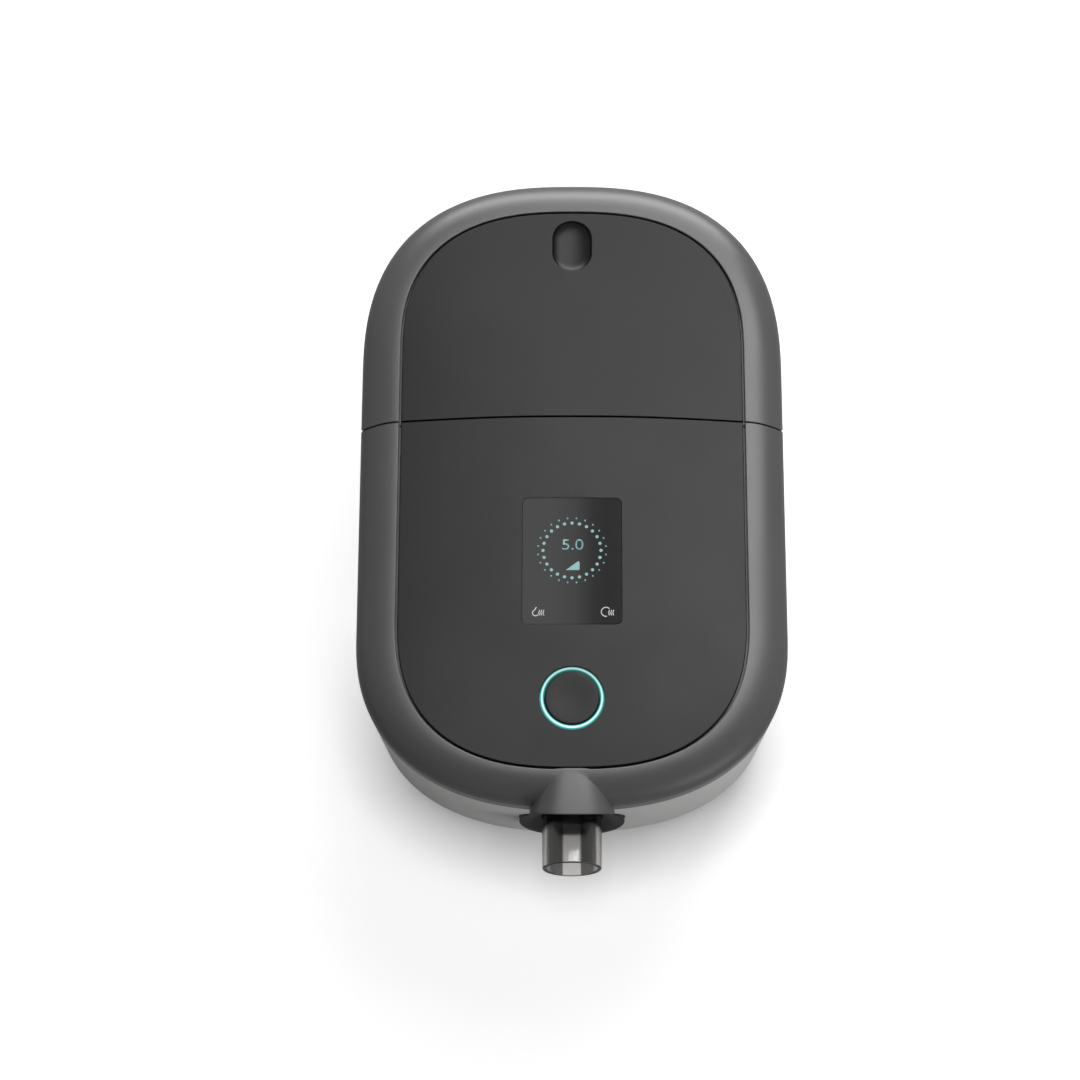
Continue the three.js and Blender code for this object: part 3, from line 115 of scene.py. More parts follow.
halfWidth = coverHigh.x
rearY = lidHigh.y
frontY = coverLow.y
centreY = (frontY + rearY) / 2
crownZ = panelHigh.z
edgeZ = lidHigh.z
undersideZ = baseLow.z
partingZ = lidLow.z
coverBottomZ = coverLow.z
baseTopZ = baseHigh.z
hingeY = (pinLow.y + pinHigh.y) / 2
hingeZ = (pinLow.z + pinHigh.z) / 2
hingeRadius = hingeZ - partingZ
outletZ = (collarLow.z + collarHigh.z) / 2
panelHalfWidth = panelHigh.x + housing["seam"] / 2
panelFrontY = panelLow.y - housing["seam"] / 2
panelRearY = lidPanelHigh.y + housing["seam"] / 2
panelY = (panelFrontY + panelRearY) / 2
panelUndersideZ = edgeZ - housing["wall"]
ledgeTopZ = panelUndersideZ - gap
ledgeBottomZ = ledgeTopZ - panel["ledgeThickness"]
outsideZ = crownZ + overrun


# Meshes are joined, cut and intersected as solids

def meshFrom(points, faces):
    mesh = bpy.data.meshes.new("work")
    mesh.from_pydata((np.asarray(points, dtype=float) * millimetre).tolist(), [], faces)
    mesh.update()
    return mesh


def held(data):  # a passing object in the scene
    holder = bpy.data.objects.new("holder", data)
    bpy.context.scene.collection.objects.link(holder)
    return holder


def plainMesh(holder, *others):  # the shape as its modifiers leave it; the passing objects go
    graph = bpy.context.evaluated_depsgraph_get()
    result = bpy.data.meshes.new_from_object(holder.evaluated_get(graph))
    for passing in (holder, *others):
        bpy.data.objects.remove(passing)
    return result


def combined(first, second, operation):
    body, tool = held(first), held(second)
    step = body.modifiers.new("combine", "BOOLEAN")
    step.solver = "MANIFOLD"
    step.operation = operation
    step.object = tool
    return plainMesh(body, tool)


def joined(*meshes):
    result = meshes[0]
    for mesh in meshes[1:]:
        result = combined(result, mesh, "UNION")
    return result


def cut(mesh, *tools):
    for tool in tools:
        mesh = combined(mesh, tool, "DIFFERENCE")
    return mesh


def common(first, second):
    return combined(first, second, "INTERSECT")


def gridFaces(rows, columns):  # quads between closed rows of points, each of the same length
    faces = []
    for row in range(rows - 1):
        for column in range(columns):
            beside = (column + 1) % columns
            faces.append((row * columns + column, row * columns + beside,
                          (row + 1) * columns + beside, (row + 1) * columns + column))
    return faces


def stacked(rings, bottomPole, topPole):  # closed solid through rings of points, with a pole at each end
    rings = [np.asarray(ring, dtype=float) for ring in rings]
    count = len(rings[0])
    points = np.concatenate(rings + [np.array([bottomPole]), np.array([topPole])])
    faces = gridFaces(len(rings), count)
    bottom = len(rings) * count
    last = bottom - count
    for column in range(count):
        beside = (column + 1) % count
        faces.append((bottom, beside, column))
        faces.append((bottom + 1, last + column, last + beside))
    return meshFrom(points, faces)


def box(low, high):
    corners = [(x, y, z) for z in (low[2], high[2]) for x, y in
               ((low[0], low[1]), (high[0], low[1]), (high[0], high[1]), (low[0], high[1]))]
    faces = [(3, 2, 1, 0), (4, 5, 6, 7), (0, 1, 5, 4), (1, 2, 6, 5), (2, 3, 7, 6), (3, 0, 4, 7)]
    return meshFrom(corners, faces)


def circle(radius, sides):
    angles = np.arange(sides) * 2 * halfTurn / sides
    return np.column_stack((radius * np.cos(angles), radius * np.sin(angles)))


def levelled(ring, z):  # a flat ring of points at one height
    return np.column_stack((ring, np.full(len(ring), z)))


def roundOver(corner, steps=edgeSteps):  # a rounded edge's points: past its start, and short of its end
    angles = np.linspace(0, quarterTurn, steps)
    return [(corner * (1 - math.cos(angle)), corner * (1 - math.sin(angle))) for angle in angles]


def post(radius, x, y, z0, z1, sides=48):  # upright cylinder
    ring = circle(radius, sides) + (x, y)
    return stacked([levelled(ring, z) for z in (z0, z1)], (x, y, z0), (x, y, z1))


def hoop(rings):  # ring-shaped solid: the last ring of points meets the first
    count = len(rings[0])
    faces = gridFaces(len(rings), count)
    last = (len(rings) - 1) * count
    faces += [(last + i, last + (i + 1) % count, (i + 1) % count, i) for i in range(count)]
    return meshFrom(np.concatenate(rings), faces)


def turned(profile, centre, sides=96):  # hoop about a lengthwise axis, from radii and distances along it
    unit = circle(1, sides)
    return hoop([levelled(unit * radius, distance)[:, [0, 2, 1]] * (-1, 1, 1) + centre
                 for radius, distance in profile])


# Outlines are straight-sided ovals with superellipse ends

def offsetForm(form, inset, share=1):  # a share of the outline's size, drawn in all round
    sizes = ("halfWidth", "halfLength", "rearCap", "frontCap")
    return {**form, **{size: form[size] * share - inset for size in sizes}}


def outline(form, count):  # anticlockwise seen from above
    angles = np.linspace(0, halfTurn, count // 2 + 1)
    rise = np.abs(np.sin(angles))
    rise[[0, -1]] = 0
    halves = []
    for sign, end in ((1, "rear"), (-1, "front")):
        power = 2 / form[end + "Squareness"]
        cap = form[end + "Cap"]
        across = sign * np.cos(angles)
        x = form["halfWidth"] * np.sign(across) * np.abs(across) ** power
        y = sign * (form["halfLength"] - cap + cap * rise ** power)
        halves.append(np.column_stack((x, form["y"] + y)))
    return np.concatenate(halves)


def loft(levels, count, peakZ=None):  # solid through outlines, each a form and its height
    rings = [levelled(outline(form, count), z) for form, z in levels]
    topZ = levels[-1][1] if peakZ is None else peakZ
    return stacked(rings, (0, levels[0][0]["y"], levels[0][1]), (0, levels[-1][0]["y"], topZ))


def prism(form, z0, z1, count):
    return loft([(form, z0), (form, z1)], count)


widestForm = {
    "halfWidth": halfWidth,
    "halfLength": (rearY - frontY) / 2,
    "rearCap": housing["rearCap"],
    "rearSquareness": housing["rearSquareness"],
    "frontCap": housing["frontCap"],
    "frontSquareness": housing["frontSquareness"],
    "y": centreY,
}
panelForm = {
    "halfWidth": panelHalfWidth,
    "halfLength": (panelRearY - panelFrontY) / 2,
    "rearCap": panel["cap"],
    "rearSquareness": panel["squareness"],
    "frontCap": panel["cap"],
    "frontSquareness": panel["squareness"],
    "y": panelY,
}


def wallForm(z, inset=0):  # the leaning wall's outline at a height
    share = (housing["widestZ"] - z) / (housing["widestZ"] - undersideZ)
    form = offsetForm(widestForm, inset + housing["endTaper"] * share)
    form["halfWidth"] += (housing["endTaper"] - housing["sideTaper"]) * share
    return form


def shoulderForm(share, inset=0):  # 0 at the widest line and 1 at the panel's edge
    form = {size: widestForm[size] + (panelForm[size] - widestForm[size]) * share for size in widestForm}
    return offsetForm(form, inset)


def housingForm(inset, floor, count):
    levels = []
    bottomZ = undersideZ + floor
    for past, short in roundOver(housing["bottomRound"] - inset, housing["bottomSteps"] + 1):
        levels.append((wallForm(bottomZ + past, inset + short), bottomZ + past))
    levels.append((wallForm(partingZ, inset), partingZ))
    power = 2 / housing["shoulderFullness"]
    rise = edgeZ - inset - housing["widestZ"]
    for angle in np.linspace(0, quarterTurn, housing["shoulderSteps"] + 1):
        share = 1 - abs(math.cos(angle)) ** power if angle < quarterTurn else 1
        levels.append((shoulderForm(share, inset), housing["widestZ"] + rise * math.sin(angle) ** power))
    edgeForm = shoulderForm(1, inset)
    for ring in range(1, housing["domeRings"]):
        share = 1 - ring / housing["domeRings"]
        levels.append((offsetForm(edgeForm, 0, share), crownZ - inset - (crownZ - edgeZ) * share ** 2))
    return loft(levels, count, crownZ - inset)


def domeZ(x, y):  # height of the domed top at points inside the panel's outline
    x = np.abs(np.asarray(x, dtype=float))
    y = np.abs(np.asarray(y, dtype=float) - panelY)
    power = panel["squareness"]
    straight = panelForm["halfLength"] - panel["cap"]
    low = np.zeros(np.broadcast(x, y).shape)
    high = np.ones(np.broadcast(x, y).shape)
    for halving in range(halvings):
        share = (low + high) / 2
        past = np.maximum(y - share * straight, 0)
        reach = (x / (share * panelHalfWidth)) ** power + (past / (share * panel["cap"])) ** power
        low = np.where(reach > 1, share, low)
        high = np.where(reach > 1, high, share)
    return crownZ - (crownZ - edgeZ) * low ** 2


def hingeArc(radius, angles):  # points round the lid's pin
    return np.column_stack((hingeY + radius * np.cos(angles), hingeZ + radius * np.sin(angles)))


def sweptRegion(radius, bottomZ):  # all that turns with the lid: behind its pin, or within a radius of it
    arc = hingeArc(radius, np.linspace(quarterTurn, 3 * quarterTurn, housing["sweepPoints"]))
    section = [(rearY + overrun, bottomZ), (rearY + overrun, outsideZ), (hingeY, outsideZ), *arc,
               (hingeY, bottomZ)]
    return extrudedAcross(section, halfWidth + overrun)


def prismFaces(count):  # two ends and the sides between them
    faces = [tuple(reversed(range(count))), tuple(range(count, 2 * count))]
    faces += [(i, (i + 1) % count, count + (i + 1) % count, count + i) for i in range(count)]
    return faces


def extrudedAcross(section, reach):  # closed YZ section, anticlockwise, drawn out to both sides
    points = [(x, y, z) for x in (-reach, reach) for y, z in section]
    return meshFrom(points, prismFaces(len(section)))


# Finishing a piece: smooth faces, crisp edges, its body and the node it stands for

pieces = bpy.data.collections.new("machine_pieces")
bpy.context.scene.collection.children.link(pieces)


def weighted(mesh):  # broad faces lead the shading, so that narrow rounded edges leave no streaks
    holder = held(mesh)
    step = holder.modifiers.new("weighted", "WEIGHTED_NORMAL")
    step.keep_sharp = True
    return plainMesh(holder)


creaseAngle = 32  # degrees; faces that meet at less are shaded as one
noCrease = 180


def finished(name, mesh, material, body, replaced=(), crease=creaseAngle):
    mesh.shade_smooth()
    mesh.set_sharp_from_angle(angle=math.radians(crease))
    result = weighted(mesh)
    result.name = name
    result.materials.clear()
    result.materials.append(material)
    made = bpy.data.objects.new(name, result)
    pieces.objects.link(made)
    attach(made, body)
    if replaced:
        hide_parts(*replaced)
    return made


# Outer form and the rim that stands round the panel

outerForm = housingForm(0, 0, housing["outlinePoints"])
hollow = housingForm(housing["wall"], housing["floor"], housing["innerPoints"])
outerShell = cut(outerForm, hollow)


def aboveParting(z):  # keeps what is above a height, with its outer edge rounded
    corner = housing["partingRound"]
    levels = [(wallForm(z, short), z + past) for past, short in roundOver(corner)]
    levels += [(wallForm(z, -overrun), z + corner * 2), (wallForm(z, -overrun), outsideZ)]
    return loft(levels, housing["outlinePoints"])


def belowParting(z):
    corner = housing["partingRound"]
    levels = [(wallForm(z, -overrun), undersideZ - overrun), (wallForm(z, -overrun), z - corner * 2)]
    levels += [(wallForm(z, past), z - short) for past, short in roundOver(corner)]
    return loft(levels, housing["outlinePoints"])


def seamTool():  # cuts the panel's place out of the cap, and rounds the shoulder's edge along it
    corner = housing["edgeRound"]
    reach = housing["seam"] / 2
    levels = [(offsetForm(panelForm, -reach), panelUndersideZ - overrun / 2)]
    levels += [(offsetForm(panelForm, -reach - past), edgeZ - short) for past, short in roundOver(corner)]
    levels.append((offsetForm(panelForm, -reach - corner), outsideZ))
    return loft(levels, housing["outlinePoints"])


def panelTool():  # keeps the panel, with its own edge rounded
    corner = housing["edgeRound"]
    reach = housing["seam"] / 2
    share = 1 - (reach + corner) / panelHalfWidth
    topZ = crownZ - (crownZ - edgeZ) * share ** 2
    levels = [(offsetForm(panelForm, reach), ledgeTopZ)]
    levels += [(offsetForm(panelForm, reach + past), topZ - short) for past, short in roundOver(corner)]
    levels.append((offsetForm(panelForm, reach + corner), outsideZ))
    return loft(levels, housing["outlinePoints"])


def ledge():
    outerLedge = offsetForm(panelForm, -panel["webWidth"] - housing["seam"])
    innerLedge = offsetForm(panelForm, panel["ledgeWidth"])
    points = housing["innerPoints"]
    plate = cut(prism(outerLedge, ledgeBottomZ, ledgeTopZ, points),
                prism(innerLedge, ledgeBottomZ - overrun, ledgeTopZ + overrun, points))
    web = cut(prism(outerLedge, ledgeBottomZ, panelUndersideZ + housing["seam"], points),
              prism(offsetForm(panelForm, -housing["seam"]), ledgeBottomZ - overrun, outsideZ, points))
    return joined(plate, web)


cap = common(outerShell, aboveParting(partingZ))
rim = joined(cut(cap, seamTool()), ledge())
panelBlank = common(common(outerShell, prism(widestForm, partingZ, outsideZ, housing["blankPoints"])),
                    panelTool())
lidTool = sweptRegion(hingeRadius, partingZ - overrun)
lidClearance = sweptRegion(hingeRadius + housing["seam"], partingZ - overrun)
print("outer form made")


# Hood over the outlet, trough in front of the hinge and the board's bosses, all on the front cover

hood = {
    "rearHalfWidth": 12.6,
    "lipHalfWidth": 16.4,
    "springZ": 66,
    "rearTopZ": 83.4,
    "lipTopZ": 82.6,
    "lipReach": 4.6,
    "squareness": 3.0,
    "lipRound": 0.5,
    "lipSteps": 4,
    "rows": 9,
    "steps": 72,
}
cowl = {
    "thickness": 2,
    "topAngle": 175,
    "endAngle": 236,
    "steps": 40,
}
boardBoss = {
    "radius": 3.5,
    "sideInset": 4,
    "endInset": 6,
    "reach": 9,
}


def archRow(y, inset):  # one arch of the hood; it widens and sinks a little towards the lip
    share = (panelFrontY - y) / (panelFrontY - frontY + hood["lipReach"])
    halfSpan = hood["rearHalfWidth"] + (hood["lipHalfWidth"] - hood["rearHalfWidth"]) * share - inset
    topZ = hood["rearTopZ"] + (hood["lipTopZ"] - hood["rearTopZ"]) * share ** 2 - inset
    power = 2 / hood["squareness"]
    angles = np.linspace(0, halfTurn, hood["steps"] + 1)
    across = np.cos(angles)
    rise = np.abs(np.sin(angles))
    rise[[0, -1]] = 0
    x = halfSpan * np.sign(across) * np.abs(across) ** power
    z = hood["springZ"] + (topZ - hood["springZ"]) * rise ** power
    x = np.concatenate(([halfSpan], x, [-halfSpan]))
    z = np.concatenate(([coverBottomZ], z, [coverBottomZ]))
    return np.column_stack((x, np.full(len(x), y), z))


def hoodLayer(inset, forward):  # the arch back to the panel, cut off in front along the leaning lip
    rows = [archRow(y, inset) for y in np.linspace(panelFrontY, frontY - overrun, hood["rows"])]
    count = len(rows[0])
    faces = gridFaces(len(rows), count)
    last = (len(rows) - 1) * count
    faces += [tuple(reversed(range(count))), tuple(range(last, last + count))]
    lipY = frontY - hood["lipReach"]
    section = [(panelFrontY + overrun, coverBottomZ - overrun), (panelFrontY + overrun, outsideZ),
               (lipY - forward, outsideZ), (lipY - forward, hood["lipTopZ"]),
               (frontY - forward, coverBottomZ), (frontY - forward, coverBottomZ - overrun)]
    return common(meshFrom(np.concatenate(rows), faces), extrudedAcross(section, halfWidth))


def hoodBody():
    layers = [hoodLayer(past, -short) for past, short in roundOver(hood["lipRound"], hood["lipSteps"])]
    return cut(joined(*layers), hollow)


def cowlBody():
    inner = hingeRadius + housing["seam"]
    outer = inner + cowl["thickness"]
    angles = np.radians(np.linspace(cowl["topAngle"], cowl["endAngle"], cowl["steps"]))
    trough = extrudedAcross([*hingeArc(outer, angles), *hingeArc(inner, angles[::-1])], halfWidth)
    return common(trough, housingForm(housing["wall"] / 2, 0, housing["outlinePoints"]))


def boardBosses():
    low, high = cornersOf("main_board")
    seatZ = high.z + gap
    bosses = []
    for side, edge in ((-1, low.x), (1, high.x)):
        x = edge - side * boardBoss["sideInset"]
        end = x + side * boardBoss["reach"]
        for y in (low.y + boardBoss["endInset"], high.y - boardBoss["endInset"]):
            bosses.append(post(boardBoss["radius"], x, y, seatZ, ledgeTopZ))
            bosses.append(box((min(x, end), y - boardBoss["radius"], seatZ),
                              (max(x, end), y + boardBoss["radius"], ledgeTopZ)))
    return bosses


def frontCover():
    reach = halfWidth + overrun
    skirt = common(common(outerShell, box((-reach, frontY - overrun, coverBottomZ - overrun),
                                          (reach, hingeY - hingeRadius / 2, partingZ + overrun / 2))),
                   aboveParting(coverBottomZ))
    front = common(rim, box((-reach, frontY - overrun, partingZ - overrun), (reach, hingeY, outsideZ)))
    whole = joined(front, skirt, hoodBody(), *boardBosses())
    return joined(cut(whole, lidClearance), cowlBody())


# Openings in the front panel, with their edges rounded along the dome

display = {
    "corner": 2.1,
    "gap": 0.14,
    "edgeRound": 0.12,
    "holeRound": 0.10,
    "cornerSteps": 8,
    "sideSteps": 10,
}
button = {
    "edgeRound": 0.45,
    "dish": 0.35,
    "stemRadius": 3,
    "thickness": 2.2,
    "ringReach": 1.65,
    "flangeThickness": 1.4,
    "ringRound": 0.3,
    "sides": 120,
    "rings": 14,
}
windowWidth = windowHigh.x - windowLow.x
windowLength = windowHigh.y - windowLow.y
windowY = (windowLow.y + windowHigh.y) / 2
buttonRadius = buttonHigh.x
buttonY = (buttonLow.y + buttonHigh.y) / 2
ringFlange = ringHigh.x
ringRadius = buttonRadius + button["ringReach"]


def windowRing(grow):  # rounded rectangle about the middle line
    corner = display["corner"] + grow
    x = windowWidth / 2 + grow - corner
    half = windowLength / 2 + grow - corner
    places = ((x, -half), (x, half), (-x, half), (-x, -half))

    def onCorner(number, turn):
        cx, cy = places[number % len(places)]
        angle = quarterTurn * turn
        return np.array((cx + corner * math.cos(angle), windowY + cy + corner * math.sin(angle)))

    points = []
    for number in range(len(places)):
        for step in range(display["cornerSteps"] + 1):
            points.append(onCorner(number, number - 1 + step / display["cornerSteps"]))
        start, end = onCorner(number, number), onCorner(number + 1, number)
        for step in range(1, display["sideSteps"]):
            points.append(start + (end - start) * step / display["sideSteps"])
    return np.array(points)


def circleRing(radius, grow=0):
    return circle(radius + grow, button["sides"]) + (0, buttonY)


def draped(ring, drop):  # a ring of points, that far below the dome
    return np.column_stack((ring, domeZ(*ring.T) - drop))


def shrunk(ring, share):
    middle = ring.mean(axis=0)
    return middle + (ring - middle) * share


def domedTool(ringAt, bottomZ, corner):  # cuts an opening whose edge is rounded over along the dome
    base = ringAt(0)
    rings = [levelled(base, bottomZ)]
    rings += [draped(ringAt(past), short) for past, short in roundOver(corner)]
    rings.append(levelled(ringAt(corner), outsideZ))
    middle = base.mean(axis=0)
    return stacked(rings, (*middle, bottomZ), (*middle, outsideZ))


def domedPlate(ringAt, bottomZ, corner, dish, middleY):  # lies flush with the dome
    rings = [levelled(ringAt(0), bottomZ)]
    rings += [draped(ringAt(-past), short) for past, short in roundOver(corner)]
    edge = ringAt(-corner)
    for step in range(1, button["rings"]):
        share = 1 - step / button["rings"]
        rings.append(draped(shrunk(edge, share), dish * (1 - share ** 2) ** 2))
    top = float(domeZ(0, middleY)) - dish
    return stacked(rings, (0, middleY, bottomZ), (0, middleY, top))


def buttonRing(grow):
    return circleRing(buttonRadius, grow)


def frontPanel():
    below = panelUndersideZ - overrun
    windowHole = domedTool(lambda grow: windowRing(grow + display["gap"]), below, display["holeRound"])
    ringHole = domedTool(lambda grow: circleRing(ringRadius + gap, grow), below, display["holeRound"])
    return cut(panelBlank, lidClearance, windowHole, ringHole)


def displayWindow():
    return domedPlate(windowRing, windowLow.z, display["edgeRound"], 0, windowY)


def therapyButton():
    topZ = float(domeZ(0, buttonY))
    bodyZ = topZ - button["thickness"]
    plate = domedPlate(buttonRing, bodyZ, button["edgeRound"], button["dish"], buttonY)
    return joined(plate, post(button["stemRadius"], 0, buttonY, buttonLow.z, bodyZ + gap))


def lightRing():
    inner = buttonRadius + gap
    flangeZ = ringLow.z + button["flangeThickness"]
    edge = roundOver(button["ringRound"], smallEdgeSteps)
    profile = [(inner, ringLow.z, 0), (ringFlange, ringLow.z, 0), (ringFlange, flangeZ, 0),
               (ringRadius, flangeZ, 0)]
    profile += [(ringRadius - past, -short, 1) for past, short in edge]
    profile += [(inner + past, -short, 1) for past, short in reversed(edge)]
    rings = []
    for radius, height, onDome in profile:
        ring = circleRing(radius)
        rings.append(draped(ring, -height) if onDome else levelled(ring, height))
    return hoop(rings)


# Lid panel with its thumb recess

recess = {
    "width": 15.5,
    "length": 21.6,
    "depth": 2.6,
    "rearMargin": 3.3,
    "edgeRound": 0.5,
    "steps": 24,
    "bowlRings": 12,
}
recessY = panelRearY - recess["rearMargin"] - recess["length"] / 2
recessTopZ = crownZ - (crownZ - edgeZ) * ((recessY - panelY) / panelForm["halfLength"]) ** 2


def stadium(radius, run, y):
    points = []
    for sign in (1, -1):
        for step in range(recess["steps"] + 1):
            angle = halfTurn * step / recess["steps"]
            points.append((sign * radius * math.cos(angle), y + sign * (run + radius * math.sin(angle))))
    return np.array(points)


def recessBowl(grow, corner):  # round-ended dish, with its rim rounded over where corner is not zero
    radius = recess["width"] / 2 + grow - corner
    depth = recess["depth"] + grow
    run = recess["length"] / 2 - recess["width"] / 2
    rings = []
    for angle in np.linspace(quarterTurn / recess["bowlRings"], quarterTurn, recess["bowlRings"]):
        ring = stadium(radius * math.sin(angle), run, recessY)
        rings.append(levelled(ring, recessTopZ - depth * math.cos(angle) - corner))
    if corner:
        for past, short in roundOver(corner)[1:]:
            rings.append(draped(stadium(radius + past, run, recessY), short))
        rings.append(levelled(stadium(radius + corner, run, recessY), outsideZ))
    top = outsideZ if corner else recessTopZ
    return stacked(rings, (0, recessY, recessTopZ - depth - corner), (0, recessY, top))


def lidPanel():
    inside = prism(offsetForm(panelForm, panel["ledgeWidth"] + gap), 0, edgeZ, housing["innerPoints"])
    backing = common(recessBowl(housing["wall"] / 2, 0), inside)
    return cut(joined(common(panelBlank, lidTool), backing), recessBowl(0, recess["edgeRound"]))


# Base housing with every opening in its walls and floor

filterDoor = {
    "thickness": 2.4,
    "pinRadius": 0.8,
    "pinLength": 1.6,
    "pinSides": 24,
    "cassetteWall": 1.6,
}
inlet = {
    "faceWidth": 21,
    "faceHeight": 14,
}
foot = {
    "recessDepth": 1.2,
    "radius": 7,
    "grooves": 4,
    "grooveWidth": 0.5,
    "grooveDepth": 0.4,
    "grooveStart": 0.7,
    "grooveMargin": 0.4,
    "edgeRound": 0.6,
    "sides": 64,
}
screw = {
    "headRadius": 3,
    "headHeight": 1.6,
    "shankRadius": 1.4,
    "length": 9,
    "headRound": 0.4,
    "pitch": 0.8,
    "threadDepth": 0.22,
    "crossArm": 1.7,
    "crossWidth": 0.4,
    "crossDepth": 0.9,
    "tipRadius": 0.3,
    "tipLength": 1,
    "turn": 0.4,
    "sides": 32,
}
corners = ("front_left", "front_right", "rear_left", "rear_right")
doorTilt = math.atan(housing["sideTaper"] / (housing["widestZ"] - undersideZ))
cassetteLow, cassetteHigh = cornersOf("filter_cassette")
doorHingeZ = cassetteHigh.z - gap - filterDoor["thickness"] / 2
doorHingeX = -wallForm(doorHingeZ)["halfWidth"] + filterDoor["thickness"] / 2 / math.cos(doorTilt)


def placesOf(kind):  # middle of each of the four feet or screws
    return [(cornersOf(f"{kind}_{corner}")[0] + cornersOf(f"{kind}_{corner}")[1]) / 2 for corner in corners]


def placed(mesh, matrix):
    mesh.transform(Matrix.Scale(millimetre, 4) @ matrix @ Matrix.Scale(1 / millimetre, 4))
    return mesh


def rightWallHole(node, width, height):
    low, high = cornersOf(node)
    middle = (low + high) / 2
    z = middle.z
    x = wallForm(z, housing["wall"])["halfWidth"] - overrun
    return box((x, middle.y - width / 2 - gap, z - height / 2 - gap),
               (halfWidth + overrun, middle.y + width / 2 + gap, z + height / 2 + gap))


def lyingPost(radius, x, z, y0, y1, sides=96):  # cylinder along the machine's length
    unit = circle(radius, sides)
    rings = [np.column_stack((-unit[:, 0] + x, np.full(sides, y), unit[:, 1] + z)) for y in (y0, y1)]
    return stacked(rings, (x, y0, z), (x, y1, z))


def baseHousing():
    shell = common(outerShell, belowParting(baseTopZ))
    bore = lyingPost(collarHigh.x + gap, 0, outletZ, collarLow.y - overrun, collarHigh.y + gap)
    lean = Matrix.Translation((doorHingeX, 0, doorHingeZ)) @ Matrix.Rotation(-doorTilt, 4, "Y")
    doorDrop = doorHingeZ - cassetteLow.z - filterDoor["cassetteWall"]
    doorHole = placed(box((-overrun, cassetteLow.y, -doorDrop),
                          (overrun, cassetteHigh.y, cassetteHigh.z - doorHingeZ)), lean)
    pinReach = filterDoor["pinLength"] + gap
    pinHole = placed(lyingPost(filterDoor["pinRadius"] + gap, 0, 0, cassetteLow.y - pinReach,
                               cassetteHigh.y + pinReach, filterDoor["pinSides"]), lean)
    cardLow, cardHigh = cornersOf("memory_card")
    cardHole = rightWallHole("memory_card", cardHigh.y - cardLow.y, cardHigh.z - cardLow.z)
    inletHole = rightWallHole("power_inlet", inlet["faceWidth"], inlet["faceHeight"])
    holes = [bore, doorHole, pinHole, cardHole, inletHole]
    for place in placesOf("foot"):
        holes.append(post(foot["radius"] + gap, place.x, place.y, 0, undersideZ + foot["recessDepth"]))
    for place in placesOf("screw"):
        headTopZ = undersideZ + screw["headHeight"] + gap
        floorZ = undersideZ + housing["floor"] + overrun / 2
        holes.append(post(screw["headRadius"] + gap, place.x, place.y, 0, headTopZ))
        holes.append(post(screw["shankRadius"] + gap, place.x, place.y, 0, floorZ))
    return cut(shell, *holes)


# Air outlet: tapered clear tube and the dark collar round its root

outlet = {
    "endRadius": 10.85,
    "rootRadius": 11.1,
    "boreRadius": 9.3,
    "flangeThickness": 3,
    "endRound": 0.5,
    "collarDepth": 9,
    "collarRecessInner": 13,
    "collarRecessOuter": 16,
    "collarRecessDepth": 2,
    "collarRecessStep": 0.8,
    "collarRound": 0.5,
}


def outletTube():
    end = tubeLow.y
    root = tubeHigh.y - outlet["flangeThickness"]
    edge = roundOver(outlet["endRound"], smallEdgeSteps)
    bore = outlet["boreRadius"]
    profile = [(bore + past, end + short) for past, short in edge]
    profile += [(outlet["endRadius"] - past, end + short) for past, short in reversed(edge)]
    profile += [(outlet["rootRadius"], collarHigh.y), (outlet["rootRadius"], root), (tubeHigh.x, root),
                (tubeHigh.x, tubeHigh.y), (bore, tubeHigh.y)]
    return turned(profile, (0, 0, outletZ))


def outletCollar():
    inner = outlet["rootRadius"] + gap
    depth = outlet["collarRecessDepth"]
    profile = [(inner, depth), (outlet["collarRecessInner"], depth * outlet["collarRecessStep"]),
               (outlet["collarRecessOuter"], 0)]
    profile += [(collarHigh.x - past, short) for past, short in reversed(roundOver(outlet["collarRound"]))]
    profile += [(collarHigh.x, outlet["collarDepth"]), (inner, outlet["collarDepth"])]
    return turned(profile, (0, collarLow.y, outletZ))


# Tub, tank, seal and tank lid under the machine's lid

bay = {
    "deckThickness": 2,
    "wall": 2,
    "sideClearance": 1.2,
    "openingInset": 9,
    "hingeSetback": 13,
    "ductWall": 1.5,
    "bossRadius": 4.2,
    "bossHeight": 8,
}
tank = {
    "inset": 10.5,
    "wall": 2,
    "lidThickness": 3,
    "lidLip": 0.8,
    "collarOuter": 21,
    "collarInner": 16.5,
    "gripWidth": 44,
    "gripLength": 5,
    "gripMargin": 3.5,
    "gripHeight": 3.4,
    "sides": 96,
}
latch = {
    "rearInset": 9.5,
    "slotMargin": 1.6,
    "hookReach": 1.2,
    "hookThickness": 2.4,
}
latchLow, latchHigh = cornersOf("lid_latch_hook")
heaterLow, heaterHigh = cornersOf("heater_plate")
heaterY = (heaterLow.y + heaterHigh.y) / 2
heaterRadius = heaterHigh.x
ductHigh = cornersOf("outlet_duct")[1]


def behind(y):  # all of the machine behind a plane
    reach = halfWidth + overrun
    return box((-reach, y, 0), (reach, rearY + overrun, outsideZ))


def tankForm(z):
    return wallForm(z, housing["wall"] + tank["inset"])


def tankBase():
    lower = tankForm(tankLow.z)
    upper = tankForm(tankHigh.z)
    points = housing["innerPoints"]
    wall = tank["wall"]
    outer = common(loft([(lower, tankLow.z), (upper, tankHigh.z)], points), behind(tankLow.y))
    inner = common(loft([(offsetForm(lower, wall), tankLow.z + wall),
                         (offsetForm(upper, wall), tankHigh.z + gap)], points),
                   behind(tankLow.y + wall))
    plateHole = post(heaterRadius - wall, 0, heaterY, 0, tankLow.z + wall + gap)
    return cut(outer, inner, plateHole)


